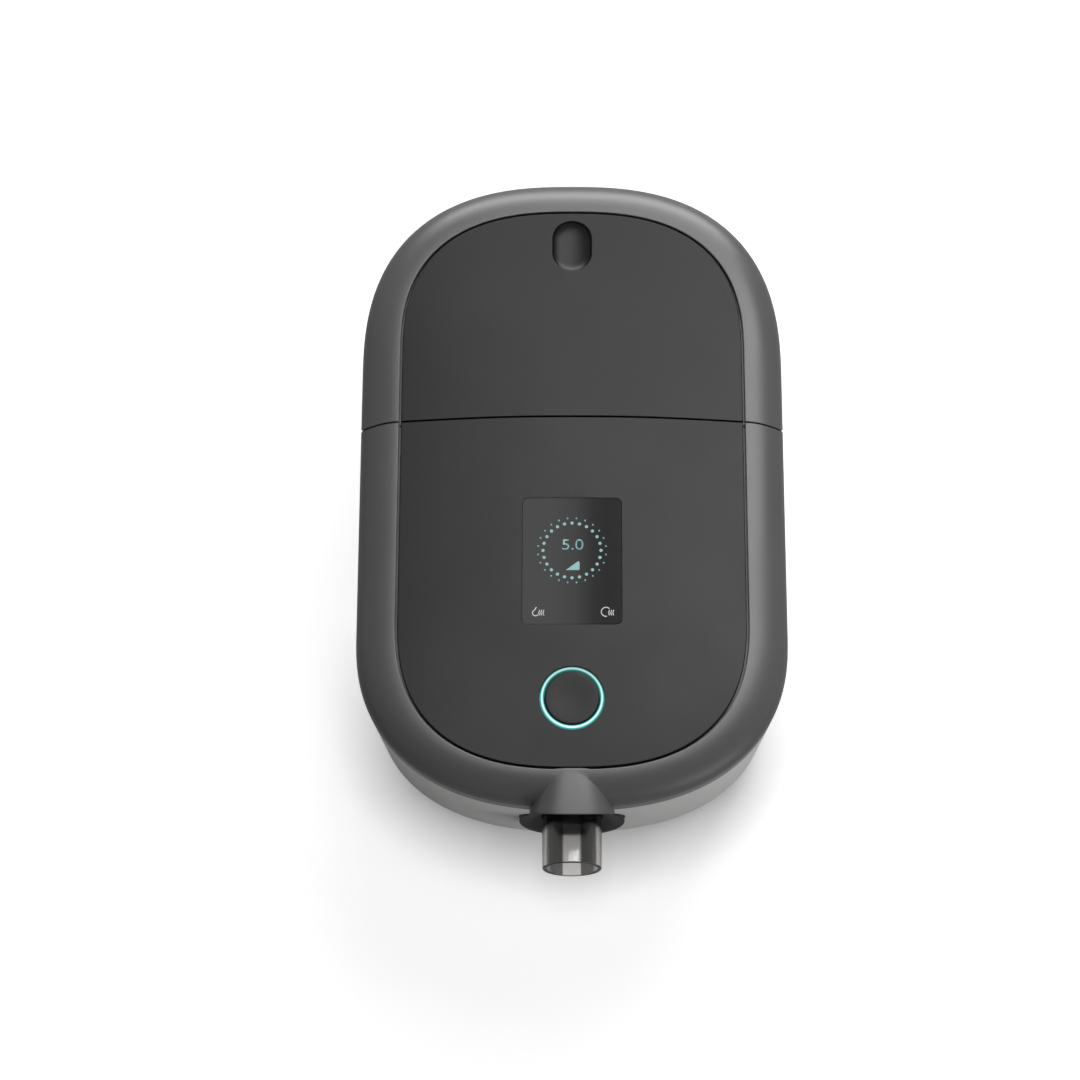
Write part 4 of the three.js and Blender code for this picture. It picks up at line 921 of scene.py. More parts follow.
def tankRing():
    form = tankForm(tankHigh.z)
    width = tank["wall"] + tank["lidLip"]
    low, high = tankSealLow.z, tankSealHigh.z
    points = housing["innerPoints"]
    outer = common(prism(form, low, high, points), behind(tankLow.y))
    inner = common(prism(offsetForm(form, width), low - overrun, high + overrun, points),
                   behind(tankLow.y + width))
    return cut(outer, inner)


def tankLid():
    low = tankLidLow.z
    top = low + tank["lidThickness"]
    plate = common(prism(tankForm(tankHigh.z), low, top, housing["innerPoints"]), behind(tankLow.y))
    collar = post(tank["collarOuter"], 0, heaterY, low, tankLidHigh.z, tank["sides"])
    bore = post(tank["collarInner"], 0, heaterY, 0, outsideZ, tank["sides"])
    grips = []
    for y in (tankLow.y + tank["gripMargin"], tankHigh.y - tank["gripMargin"] - tank["gripLength"] / 2):
        grips.append(box((-tank["gripWidth"] / 2, y - tank["gripLength"] / 2, low),
                         (tank["gripWidth"] / 2, y + tank["gripLength"] / 2, top + tank["gripHeight"] / 2)))
    return cut(joined(plate, collar, *grips), bore)


def bayLiner():
    points = housing["innerPoints"]
    wall = bay["wall"]
    corner = housing["bottomRound"]

    def tubForm(z):
        return wallForm(z, housing["wall"] + bay["sideClearance"])

    lowForm = tubForm(bayLow.z + corner)
    outer = common(loft([(offsetForm(lowForm, corner), bayLow.z), (lowForm, bayLow.z + corner),
                         (tubForm(bayHigh.z), bayHigh.z)], points), behind(bayLow.y))
    underDeck = common(loft([(offsetForm(lowForm, corner + wall), bayLow.z + wall),
                             (offsetForm(lowForm, wall), bayLow.z + corner),
                             (offsetForm(tubForm(bayHigh.z), wall), bayHigh.z - bay["deckThickness"])],
                            points),
                       behind(bayLow.y + wall))
    opening = common(prism(wallForm(bayHigh.z, housing["wall"] + bay["openingInset"]),
                           bayHigh.z - overrun, outsideZ, points), behind(hingeY + bay["hingeSetback"]))
    margin = latch["slotMargin"]
    slotFrontY = rearY - latch["rearInset"] - latch["hookReach"] - latch["hookThickness"] - margin
    latchSlot = box((latchLow.x - margin, slotFrontY, bayHigh.z - bay["deckThickness"] - overrun),
                    (latchHigh.x + margin, rearY - latch["rearInset"] + 2 * margin, outsideZ))
    ductHole = lyingPost(ductHigh.x - bay["ductWall"], 0, outletZ, bayLow.y - overrun, bayLow.y + overrun)
    heaterHole = post(heaterRadius + 2 * gap, 0, heaterY, 0, bayLow.z + wall + gap,
                      tank["sides"])
    bosses = []
    holes = []
    floorZ = undersideZ + housing["floor"]
    for place in placesOf("screw")[2:]:
        bosses.append(post(bay["bossRadius"], place.x, place.y, bayLow.z, floorZ + bay["bossHeight"]))
        holes.append(post(screw["shankRadius"] + gap, place.x, place.y, 0,
                          floorZ + screw["length"] + gap))
    return cut(joined(cut(outer, underDeck), *bosses), opening, latchSlot, ductHole, heaterHole, *holes)


print("shapes ready")


# Finishes. Each group gives only colours, values and heights that change over the surface

def newTree(name, kind, inputs, outputs):  # a tree, what it is given, and the node that takes its results
    tree = bpy.data.node_groups.new(name, kind)
    for label, socketKind, value in inputs:
        socket = tree.interface.new_socket(label, in_out="INPUT", socket_type="NodeSocket" + socketKind)
        if value is not None:
            socket.default_value = value
    for label, socketKind in outputs:
        tree.interface.new_socket(label, in_out="OUTPUT", socket_type="NodeSocket" + socketKind)
    return tree, tree.nodes.new("NodeGroupInput").outputs, tree.nodes.new("NodeGroupOutput")


def node(tree, kind, inputs=None, **settings):  # adds a node; an input is a value or another node's output
    made = tree.nodes.new(kind)
    for name, value in settings.items():
        setattr(made, name, value)
    for name, value in (inputs or {}).items():
        if isinstance(value, bpy.types.NodeSocket):
            tree.links.new(value, made.inputs[name])
        else:
            made.inputs[name].default_value = value
    return made


def feed(tree, target, **outputs):  # links other nodes' outputs to the target's inputs
    for name, output in outputs.items():
        tree.links.new(output, target.inputs[name.replace("_", " ")])


def ownPlace(tree):  # place on the piece
    return node(tree, "ShaderNodeTexCoord").outputs["Object"]


def noise(tree, place, scale, detail=2):
    made = node(tree, "ShaderNodeTexNoise", {"Vector": place, "Scale": scale, "Detail": detail})
    return made.outputs["Fac"]


def mapped(tree, value, start, end, low=0.0, high=1.0):  # carries low to start and high to end
    return node(tree, "ShaderNodeMapRange", {"Value": value, "From Min": low, "From Max": high,
                                             "To Min": start, "To Max": end}).outputs["Result"]


def scaledPlace(tree, place, scale, location=(0, 0, 0)):
    return node(tree, "ShaderNodeMapping", {"Vector": place, "Location": location,
                                            "Scale": scale}).outputs["Vector"]


def acrossOf(tree, place, width):  # 0 at the left edge of a piece and 1 at the right
    moved = scaledPlace(tree, place, (1 / (width * millimetre), 0, 0), (0.5, 0, 0))
    return node(tree, "ShaderNodeSeparateXYZ", {"Vector": moved}).outputs["X"]


colourSockets = (6, 7, 2)  # places of the two mixed colours and of the result


def blend(tree, share, first, second):
    firstAt, secondAt, resultAt = colourSockets
    mix = node(tree, "ShaderNodeMix", {"Factor": share, firstAt: first, secondAt: second}, data_type="RGBA")
    return mix.outputs[resultAt]


def rampOf(tree, value, stops, interpolation="LINEAR"):  # colours at places from 0 to 1
    ramp = node(tree, "ShaderNodeValToRGB", {"Fac": value})
    ramp.color_ramp.interpolation = interpolation
    elements = ramp.color_ramp.elements
    for element, (position, colour) in ((elements[0], stops[0]), (elements[1], stops[-1])):
        element.position = position
        element.color = colour
    for position, colour in stops[1:-1]:
        elements.new(position).color = colour
    return ramp.outputs["Color"]


def bumped(tree, height, strength, depth):  # depth in millimetres
    return node(tree, "ShaderNodeBump", {"Height": height, "Strength": strength,
                                         "Distance": depth * millimetre}).outputs["Normal"]


texture = {
    "cloudRange": (0.3, 0.7),  # levels of the slow cloud that become smooth and rough
    "cloudDetail": 3,
    "speckShare": 0.35,
    "grainStrength": 0.5,
    "lineStrength": 0.3,
    "lineDepth": 0.02,
    "cellStrength": 0.8,
}


def mouldedGrain():  # fine texture of moulded plastic, with slow changes of gloss
    tree, given, out = newTree("mouldedGrain", "ShaderNodeTree", [
        ("Grain Scale", "Float", 2600), ("Cloud Scale", "Float", 22), ("Smooth", "Float", 0.36),
        ("Rough", "Float", 0.46), ("Dark", "Color", (0.03, 0.03, 0.03, 1)),
        ("Light", "Color", (0.04, 0.04, 0.04, 1)),
    ], [("Color", "Color"), ("Roughness", "Float"), ("Height", "Float")])
    place = ownPlace(tree)
    grain = noise(tree, place, given["Grain Scale"])
    cloud = noise(tree, place, given["Cloud Scale"], texture["cloudDetail"])
    speck = node(tree, "ShaderNodeMix", {"A": cloud, "B": grain, "Factor": texture["speckShare"]})
    feed(tree, out, Color=blend(tree, speck.outputs["Result"], given["Dark"], given["Light"]), Height=grain,
         Roughness=mapped(tree, cloud, given["Smooth"], given["Rough"], *texture["cloudRange"]))
    return tree


def brushedMetal():  # fine lines along one axis
    tree, given, out = newTree("brushedMetal", "ShaderNodeTree", [
        ("Stretch", "Vector", (30, 900, 900)), ("Smooth", "Float", 0.25), ("Rough", "Float", 0.42),
    ], [("Roughness", "Float"), ("Height", "Float")])
    lines = noise(tree, scaledPlace(tree, ownPlace(tree), given["Stretch"]), 1, texture["cloudDetail"])
    feed(tree, out, Roughness=mapped(tree, lines, given["Smooth"], given["Rough"]), Height=lines)
    return tree


def cellPattern():  # open cells of foam
    tree, given, out = newTree("cellPattern", "ShaderNodeTree", [
        ("Scale", "Float", 900), ("Dark", "Color", (0.1, 0.1, 0.1, 1)),
        ("Light", "Color", (0.3, 0.3, 0.3, 1)),
    ], [("Color", "Color"), ("Height", "Float")])
    cells = node(tree, "ShaderNodeTexVoronoi", {"Vector": ownPlace(tree), "Scale": given["Scale"]})
    distance = cells.outputs["Distance"]
    feed(tree, out, Color=blend(tree, distance, given["Dark"], given["Light"]), Height=distance)
    return tree


grainGroup = mouldedGrain()
brushedGroup = brushedMetal()
cellGroup = cellPattern()


def newMaterial(name, **settings):  # one Principled shader, with its constants on its own sockets
    material = bpy.data.materials.new(name)
    material.use_nodes = True
    tree = material.node_tree
    shader = tree.nodes["Principled BSDF"]
    for socket, value in settings.items():
        shader.inputs[socket.replace("_", " ")].default_value = value
    return material, tree, shader


def grey(value, warmth=0):
    return (value * (1 + warmth), value, value * (1 - warmth), 1)


def plastic(name, dark, light, smooth, rough, specular=0.5, depth=0.012, scale=2600, **settings):
    material, tree, shader = newMaterial(name, Specular_IOR_Level=specular, **settings)
    grain = node(tree, "ShaderNodeGroup", {"Dark": dark, "Light": light, "Smooth": smooth, "Rough": rough,
                                           "Grain Scale": scale}, node_tree=grainGroup).outputs
    feed(tree, shader, Base_Color=grain["Color"], Roughness=grain["Roughness"],
         Normal=bumped(tree, grain["Height"], texture["grainStrength"], depth))
    return material


def metal(name, colour, smooth, rough, stretch):
    material, tree, shader = newMaterial(name, Base_Color=colour, Metallic=1)
    lines = node(tree, "ShaderNodeGroup", {"Stretch": stretch, "Smooth": smooth, "Rough": rough},
                 node_tree=brushedGroup).outputs
    feed(tree, shader, Roughness=lines["Roughness"],
         Normal=bumped(tree, lines["Height"], texture["lineStrength"], texture["lineDepth"]))
    return material


def celled(name, dark, light, scale, depth, **settings):
    material, tree, shader = newMaterial(name, **settings)
    cells = node(tree, "ShaderNodeGroup", {"Dark": dark, "Light": light, "Scale": scale},
                 node_tree=cellGroup).outputs
    feed(tree, shader, Base_Color=cells["Color"],
         Normal=bumped(tree, cells["Height"], texture["cellStrength"], depth))
    return material


def glowing(name, colour):
    material, tree, shader = newMaterial(name, Base_Color=colour, Roughness=glow["roughness"],
                                         Emission_Strength=glow["strength"])
    dim = [part * glow["dimmest"] for part in colour[:3]] + [1]
    cloud = noise(tree, ownPlace(tree), glow["cloudScale"])
    feed(tree, shader, Emission_Color=blend(tree, cloud, dim, colour))
    return material


plastics = {  # depth and scale are those of the grain
    "charcoal plastic": dict(dark=grey(0.130), light=grey(0.148), smooth=0.34, rough=0.42, specular=0.31),
    "panel plastic": dict(dark=grey(0.006), light=grey(0.009), smooth=0.32, rough=0.40, specular=0.13),
    "warm grey plastic": dict(dark=grey(0.74, 0.01), light=grey(0.78, 0.01), smooth=0.40, rough=0.50,
                              specular=0.3),
    "inner grey plastic": dict(dark=grey(0.085), light=grey(0.105), smooth=0.45, rough=0.58),
    "black plastic": dict(dark=grey(0.016), light=grey(0.024), smooth=0.42, rough=0.52),
    "collar plastic": dict(dark=grey(0.024), light=grey(0.030), smooth=0.45, rough=0.55, specular=0.18),
    "dark rubber": dict(dark=grey(0.012), light=grey(0.02), smooth=0.75, rough=0.88, depth=0.04, scale=1800),
    "silicone seal": dict(dark=(0.30, 0.38, 0.42, 1), light=(0.36, 0.44, 0.48, 1), smooth=0.55, rough=0.68),
    "white nylon": dict(dark=grey(0.72, 0.01), light=grey(0.80, 0.01), smooth=0.42, rough=0.52),
    "button plastic": dict(dark=grey(0.007), light=grey(0.010), smooth=0.30, rough=0.38, specular=0.115),
    "screen face": dict(dark=grey(0.008), light=grey(0.012), smooth=0.30, rough=0.36),
    "circuit board": dict(dark=(0.008, 0.075, 0.035, 1), light=(0.012, 0.10, 0.05, 1), smooth=0.35, rough=0.5,
                          depth=0.03, scale=700),
    "tank clear plastic": dict(dark=(0.78, 0.83, 0.86, 1), light=(0.84, 0.88, 0.90, 1), smooth=0.05,
                               rough=0.10, depth=0.004, scale=600, Transmission_Weight=1.0, IOR=1.45),
}
metals = {
    "steel": dict(colour=(0.58, 0.58, 0.57, 1), smooth=0.22, rough=0.38, stretch=(60, 1500, 1500)),
    "aluminium": dict(colour=(0.74, 0.75, 0.76, 1), smooth=0.28, rough=0.42, stretch=(1500, 60, 1500)),
}
finishes = {name: plastic(name, **values) for name, values in plastics.items()}
finishes.update({name: metal(name, **values) for name, values in metals.items()})
finishes["filter foam"] = celled("filter foam", dark=(0.10, 0.15, 0.20, 1), light=(0.28, 0.38, 0.46, 1),
                                 scale=1300, depth=0.5, Roughness=0.95)

# Outlet tube: a dark smoky tint with painted highlights. The light stripe along the middle and the lighter
# edge at each rim stand in for reflections.
smokyTubeWithPaintedHighlights = {
    "dark": grey(0.15, 0.03),
    "light": grey(0.80, 0.02),
    "edge": grey(0.52, 0.02),
    "paintedHighlightStripe": (0.335, 0.655),  # where the painted highlight stripe lies across the tube
    "paintedRimHighlights": (0.07, 0.90),
    "smooth": 0.11,
    "rough": 0.14,
    "cloudScale": 300,
}
glow = {
    "roughness": 0.4,
    "strength": 0.95,
    "dimmest": 0.92,
    "cloudScale": 90,
}
ringLight = {
    "colour": (0.05, 0.16, 0.15, 1),
    "specular": 0.1,
    "strength": 1.45,
    "band": ((0.0, (0.02, 0.16, 0.15, 1)), (0.24, (0.07, 0.44, 0.40, 1)), (0.42, (0.66, 1.0, 0.92, 1)),
             (0.60, (0.76, 1.0, 0.94, 1)), (0.80, (0.08, 0.46, 0.42, 1)), (1.0, (0.03, 0.22, 0.20, 1))),
    "brightSide": (-0.12, -1.0, 0),
    "dimmest": 0.45,
}
displayGlassWithPaintedReflection = {
    "ground": grey(0.010),
    "specular": 0.04,
    # painted reflection on the glass: glow levels of the ground across the window, from its left edge to its
    # right
    "paintedReflectionFade": ((0.0, 0.046), (0.30, 0.045), (0.52, 0.034), (0.72, 0.008), (0.85, 0.003), (1.0, 0.004)),
    "smooth": 0.10,
    "rough": 0.18,
    "smudgeScale": 120,
    "smudgeStrength": 0.1,
    "smudgeDepth": 0.002,
}


def smokyPaintedHighlightMaterial():  # smoky clear plastic whose tint carries painted highlights: a lighter stripe along the middle and lighter rims at both sides
    material, tree, shader = newMaterial("smoky clear plastic", Transmission_Weight=1.0, IOR=1.45)
    place = ownPlace(tree)
    edge, dark, light = smokyTubeWithPaintedHighlights["edge"], smokyTubeWithPaintedHighlights["dark"], smokyTubeWithPaintedHighlights["light"]
    (left, right), (paintedHighlightStart, paintedHighlightEnd) = smokyTubeWithPaintedHighlights["paintedRimHighlights"], smokyTubeWithPaintedHighlights["paintedHighlightStripe"]
    stops = ((0.0, edge), (left, dark), (paintedHighlightStart, light), (paintedHighlightEnd, dark), (right, edge))
    tintWithPaintedHighlights = rampOf(tree, acrossOf(tree, place, 2 * outlet["endRadius"]), stops, "CONSTANT")
    cloud = noise(tree, place, smokyTubeWithPaintedHighlights["cloudScale"])
    feed(tree, shader, Base_Color=tintWithPaintedHighlights,
         Roughness=mapped(tree, cloud, smokyTubeWithPaintedHighlights["smooth"], smokyTubeWithPaintedHighlights["rough"]))
    return material


def ringGlowMaterial():  # brightest along the middle of the band, and towards the front
    material, tree, shader = newMaterial("ring glow", Base_Color=ringLight["colour"],
                                         Roughness=glow["roughness"],
                                         Specular_IOR_Level=ringLight["specular"],
                                         Emission_Strength=ringLight["strength"])
    centred = scaledPlace(tree, ownPlace(tree), (1, 1, 0), (0, -buttonY * millimetre, 0))
    radius = node(tree, "ShaderNodeVectorMath", {0: centred}, operation="LENGTH").outputs["Value"]
    inner = (buttonRadius + gap) * millimetre
    outer = ringRadius * millimetre
    band = rampOf(tree, mapped(tree, radius, 0.0, 1.0, inner, outer), ringLight["band"])
    turn = node(tree, "ShaderNodeVectorMath", {0: centred, 1: ringLight["brightSide"]},
                operation="DOT_PRODUCT").outputs["Value"]
    side = mapped(tree, turn, ringLight["dimmest"], 1.0, -outer, outer)
    feed(tree, shader, Emission_Color=blend(tree, side, (0, 0, 0, 1), band))
    return material


def displayPaintedReflectionMaterial():  # glossy cover of the display; its ground glows with a painted reflection, lighter at the left and fading to the right
    material, tree, shader = newMaterial("display glass", Specular_IOR_Level=displayGlassWithPaintedReflection["specular"],
                                         Base_Color=displayGlassWithPaintedReflection["ground"], Emission_Strength=1.0)
    place = ownPlace(tree)
    stops = [(position, grey(level)) for position, level in displayGlassWithPaintedReflection["paintedReflectionFade"]]
    smudge = noise(tree, place, displayGlassWithPaintedReflection["smudgeScale"], texture["cloudDetail"])
    feed(tree, shader, Emission_Color=rampOf(tree, acrossOf(tree, place, windowWidth), stops),
         Roughness=mapped(tree, smudge, displayGlassWithPaintedReflection["smooth"], displayGlassWithPaintedReflection["rough"]),
         Normal=bumped(tree, smudge, displayGlassWithPaintedReflection["smudgeStrength"], displayGlassWithPaintedReflection["smudgeDepth"]))
    return material


finishes["ring glow"] = ringGlowMaterial()
finishes["display glass"] = displayPaintedReflectionMaterial()
screenTeal = glowing("screen teal", (0.075, 0.20, 0.20, 1))
screenWhite = glowing("screen white", (0.37, 0.375, 0.38, 1))
print("finishes ready")


# Carried-over nodes keep their shape and take a procedural finish

otherNames = {"smoky_clear_plastic": "tank clear plastic", "screen": "screen face", "light_ring": "ring glow"}


def finishOf(slot):  # most slots are named as their finish
    return finishes[otherNames.get(slot, slot.replace("_", " "))]


slotOf = {part["node"]: part["material_slot"] for part in frame["record"]["subparts"]}
for name, carried in frame["nodes"].items():
    carried.data.materials.clear()
    carried.data.materials.append(finishOf(slotOf[name]))
print("carried-over nodes finished")


# Smooth pieces that stand for coarser nodes

finishes["smoky clear plastic"] = smokyPaintedHighlightMaterial()
smoothPieces = [
    ("cover_front", frontCover, "charcoal plastic", "base", "front_cover"),
    ("cover_lid", lambda: common(rim, lidTool), "charcoal plastic", "lid", "lid_frame"),
    ("panel_front", frontPanel, "panel plastic", "base", "front_panel"),
    ("panel_lid", lidPanel, "panel plastic", "lid", "lid_panel"),
    ("housing_base", baseHousing, "warm grey plastic", "base", "base_housing"),
    ("display_glass", displayWindow, "display glass", "base", "display_window"),
    ("button_face", therapyButton, "button plastic", "therapy_button", "therapy_button"),
    ("button_ring", lightRing, "ring glow", "base", "button_light_ring"),
    ("tube_outlet", outletTube, "smoky clear plastic", "base", "outlet_tube"),
    ("collar_outlet", outletCollar, "collar plastic", "base", "outlet_collar"),
    ("tub_liner", bayLiner, "inner grey plastic", "base", "tank_bay_liner"),
    ("tank_body", tankBase, "tank clear plastic", "base", "water_tank"),
    ("tank_gasket", tankRing, "silicone seal", "base", "tank_seal"),
    ("tank_cover", tankLid, "tank clear plastic", "base", "tank_lid"),
]
for name, build, finish, body, replacedNode in smoothPieces:
    finished(name, build(), finishes[finish], body, (replacedNode,))
print("smooth pieces made")


# Repeated pieces: screws and ribbed feet, and later the display's dots

def repeatTree(name, sizes):  # changes or makes shapes, with named sizes
    return newTree(name, "GeometryNodeTree", [("Geometry", "Geometry", None), *sizes],
                   [("Geometry", "Geometry")])


def endTree(tree, given, out, geometry):  # instances made real, with the given finish
    real = node(tree, "GeometryNodeRealizeInstances", {"Geometry": geometry})
    dressed = node(tree, "GeometryNodeSetMaterial", {"Geometry": real.outputs["Geometry"],
                                                     "Material": given["Finish"]})
    feed(tree, out, Geometry=dressed.outputs["Geometry"])


def meshOf(tree, points, values):  # evaluates a tree on loose points and gives the plain mesh
    source = bpy.data.meshes.new("places")
    source.from_pydata([tuple(point) for point in points], [], [])
    holder = held(source)
    step = holder.modifiers.new("repeat", "NODES")
    step.node_group = tree
    for item in tree.interface.items_tree:
        if item.in_out == "INPUT" and item.name in values:
            step[item.identifier] = values[item.name]
    return plainMesh(holder)


def copiesTree():  # copies of one shape, set on points
    tree, given, out = repeatTree("copies", [("Shape", "Object", None), ("Turn", "Float", 0.0),
                                             ("Finish", "Material", None)])
    shape = node(tree, "GeometryNodeObjectInfo", {"Object": given["Shape"]})
    turn = node(tree, "ShaderNodeCombineXYZ", {"Z": given["Turn"]})
    copies = node(tree, "GeometryNodeInstanceOnPoints", {"Points": given["Geometry"],
                                                         "Instance": shape.outputs["Geometry"],
                                                         "Rotation": turn.outputs["Vector"]})
    endTree(tree, given, out, copies.outputs["Instances"])
    return tree


def copiesOf(shape, places, turn, finish):
    master = held(shape)
    result = meshOf(copyTree, places, {"Shape": master, "Turn": turn, "Finish": finish})
    bpy.data.objects.remove(master)
    return result


def lathed(profile, sides):  # closed solid from radii and heights, bottom pole first
    rings = [levelled(circle(radius, sides), z) for radius, z in profile]
    return stacked(rings, (0, 0, profile[0][1]), (0, 0, profile[-1][1]))


def screwShape():  # pan head with a cross recess, downwards, and a ribbed shank
    low, high = cornersOf("screw_front_left")
    head, rounding, pitch = screw["headHeight"], screw["headRound"], screw["pitch"]
    radius, shank = screw["headRadius"], screw["shankRadius"]
    profile = [(radius - rounding * 2, 0), (radius - rounding / 2, rounding / 2), (radius, rounding * 2),
               (radius, head), (shank, head)]
    length = high.z - low.z
    turns = int((length - head - screw["tipLength"]) / pitch)
    for number in range(turns):
        z = head + (number + 0.5) * pitch
        profile += [(shank - screw["threadDepth"], z), (shank, z + pitch / 2)]
    profile += [(shank - screw["threadDepth"], length - pitch / 2), (screw["tipRadius"], length)]
    arm, width, depth = screw["crossArm"], screw["crossWidth"], screw["crossDepth"]
    below = -screw["tipLength"]
    cross = joined(box((-arm, -width, below), (arm, width, depth)),
                   box((-width, -arm, below), (width, arm, depth)))
    return cut(lathed(profile, screw["sides"]), cross)


def footShape():  # round pad with ring grooves underneath
    low, high = cornersOf("foot_front_left")
    radius = (high.x - low.x) / 2
    groove = foot["grooveWidth"]
    profile = [(groove / 2, 0)]
    for number in range(foot["grooves"]):
        r = radius * (number + foot["grooveStart"]) / (foot["grooves"] + foot["grooveMargin"])
        profile += [(r, 0), (r + groove / 4, foot["grooveDepth"]), (r + groove, foot["grooveDepth"]),
                    (r + groove * 1.25, 0)]
    height = high.z - low.z
    profile += [(radius - foot["edgeRound"], 0), (radius - foot["edgeRound"] / 4, foot["edgeRound"] / 4),
                (radius, foot["edgeRound"]), (radius, height)]
    return lathed(profile, foot["sides"])


def bottomsOf(kind):  # middle of the lower face of each of the four
    return [Vector((place.x, place.y, cornersOf(f"{kind}_{corner}")[0].z)) * millimetre
            for place, corner in zip(placesOf(kind), corners)]


copyTree = copiesTree()
for name, shape, kind, turn, finish in (
        ("screws_housing", screwShape, "screw", screw["turn"], finishes["steel"]),
        ("feet_rubber", footShape, "foot", 0, finishes["dark rubber"])):
    nodes = [f"{kind}_{corner}" for corner in corners]
    finished(name, copiesOf(shape(), bottomsOf(kind), turn, finish), finish, "base", nodes)
print("screws and feet made")


# Marks on the display: two rings of dots, a number, a wedge and two small symbols

def dotRingTree():
    tree, given, out = repeatTree("dotRing", [
        ("Count", "Int", 24), ("Ring Radius", "Float", 0.0106), ("Dot Radius", "Float", 0.0006),
        ("Dot Height", "Float", 0.00002), ("Turn", "Float", 0.0), ("Finish", "Material", None)])
    ring = node(tree, "GeometryNodeMeshCircle", {"Vertices": given["Count"],
                                                 "Radius": given["Ring Radius"]})
    dot = node(tree, "GeometryNodeMeshCylinder", {"Vertices": screen["dotSides"],
                                                  "Radius": given["Dot Radius"],
                                                  "Depth": given["Dot Height"]})
    dots = node(tree, "GeometryNodeInstanceOnPoints", {"Points": ring.outputs["Mesh"],
                                                       "Instance": dot.outputs["Mesh"]})
    turn = node(tree, "ShaderNodeCombineXYZ", {"Z": given["Turn"]})
    spun = node(tree, "GeometryNodeTransform", {"Geometry": dots.outputs["Instances"],
                                                "Rotation": turn.outputs["Vector"]})
    endTree(tree, given, out, spun.outputs["Geometry"])
    return tree


screen = {
    "lift": 0.012,
    "markHeight": 0.02,
    "ringY": -21.8,
    "dotRings": (("inner", 10.6, 0.60, 0), ("outer", 12.5, 0.36, 0.5)),  # radius, dot's radius, turn in steps
    "dotCount": 24,
    "dotSides": 16,
    "number": "5.0",
    "numberSize": 5.9,
    "numberWidth": 1.16,
    "numberRise": 2.0,
    "numberX": 0.2,
    "wedgeShape": ((-1, -1), (0.93, -1), (1, -0.85), (1, 0.8), (0.9, 1), (0.7, 0.9), (0, 0.1), (-0.6, -0.6)),
    "wedgeWidth": 5.1,
    "wedgeHeight": 3.4,
    "wedgeDrop": 5.9,
    "weld": 0.001,
    "symbolRise": -23.6,
    "symbolLine": 0.36,
    "symbolScale": 0.80,
    "tubeSymbolX": 13.0,
    "dropSymbolX": -12.5,
}
symbol = {
    "waves": 3,
    "waveSpacing": 0.95,
    "waveSwing": 0.18,
    "waveTurns": 3.2,
    "waveReach": (-1.7, 0.9),
    "waveSteps": 14,
    "dropRadius": 1.35,
    "dropMiddle": (-1.0, -0.55),
    "dropArc": (150, 330, 20),
    "dropTip": ((-0.55, 2.3), (-1.15, 1.25), (-1.8, 0.55)),
    "dropWavesX": 0.7,
    "tubeRadius": 2.15,
    "tubeMiddle": (-0.8, 0),
    "tubeArc": (42, 282, 30),
    "tubeWavesX": 0.55,
}


def onDome(mesh, x, y):  # moves flat marks to their place and bends them to the dome, on the glass
    low = min(vertex.co.z for vertex in mesh.vertices)
    for vertex in mesh.vertices:
        px = vertex.co.x / millimetre + x
        py = vertex.co.y / millimetre + y
        z = float(domeZ(px, py)) + screen["lift"] + (vertex.co.z - low) / millimetre
        vertex.co = Vector((px, py, z)) * millimetre
    return mesh


def ribbon(points, width):  # a flat stroke of even width along points
    points = np.asarray(points, dtype=float)
    along = np.gradient(points, axis=0)
    along /= np.linalg.norm(along, axis=1)[:, None]
    side = np.column_stack((-along[:, 1], along[:, 0])) * width / 2
    height = screen["markHeight"]
    rows = [levelled(points + sign * side, z) for sign, z in ((1, 0), (-1, 0), (-1, height), (1, height))]
    count = len(points)
    starts = [row * count for row in range(len(rows))]
    faces = [(row + i, row + i + 1, beside + i + 1, beside + i)
             for row, beside in zip(starts, starts[1:] + starts[:1]) for i in range(count - 1)]
    faces += [tuple(starts), tuple(row + count - 1 for row in starts[:1] + starts[:0:-1])]
    return meshFrom(np.concatenate(rows), faces)


def arcPoints(radius, start, end, steps):
    angles = np.radians(np.linspace(start, end, steps))
    return np.column_stack((radius * np.cos(angles), radius * np.sin(angles)))


def heatWaves(x):  # short upright waves
    z = np.linspace(*symbol["waveReach"], symbol["waveSteps"])
    swing = symbol["waveSwing"] * np.sin(z * symbol["waveTurns"])
    return [np.column_stack((x + symbol["waveSpacing"] * number + swing, z))
            for number in range(symbol["waves"])]


def dropStrokes():
    low = arcPoints(symbol["dropRadius"], *symbol["dropArc"]) + symbol["dropMiddle"]
    return [np.concatenate((symbol["dropTip"], low)), *heatWaves(symbol["dropWavesX"])]


def tubeStrokes():
    return [arcPoints(symbol["tubeRadius"], *symbol["tubeArc"]) + symbol["tubeMiddle"],
            *heatWaves(symbol["tubeWavesX"])]


def numberMesh():
    curve = bpy.data.curves.new("number", "FONT")
    curve.body = screen["number"]
    curve.size = screen["numberSize"] * millimetre
    curve.align_x = "CENTER"
    curve.align_y = "CENTER"
    curve.extrude = screen["markHeight"] * millimetre / 2
    result = plainMesh(held(curve))
    result.transform(Matrix.Diagonal((screen["numberWidth"], 1, 1, 1)))
    return result


def wedgeMesh():
    across, along = screen["wedgeWidth"] / 2, screen["wedgeHeight"] / 2
    edge = [(x * across, y * along) for x, y in screen["wedgeShape"]]
    return meshFrom([(x, y, z) for z in (0, screen["markHeight"]) for x, y in edge], prismFaces(len(edge)))


def merged(meshes):  # one mesh, with doubled points made one
    work = bmesh.new()
    for mesh in meshes:
        work.from_mesh(mesh)
    bmesh.ops.remove_doubles(work, verts=work.verts, dist=screen["weld"] * millimetre)
    result = bpy.data.meshes.new("work")
    work.to_mesh(result)
    work.free()
    return result


def screenMark(name, mesh, x, rise, material):
    finished(name, onDome(mesh, x, screen["ringY"] + rise), material, "base", (), noCrease)


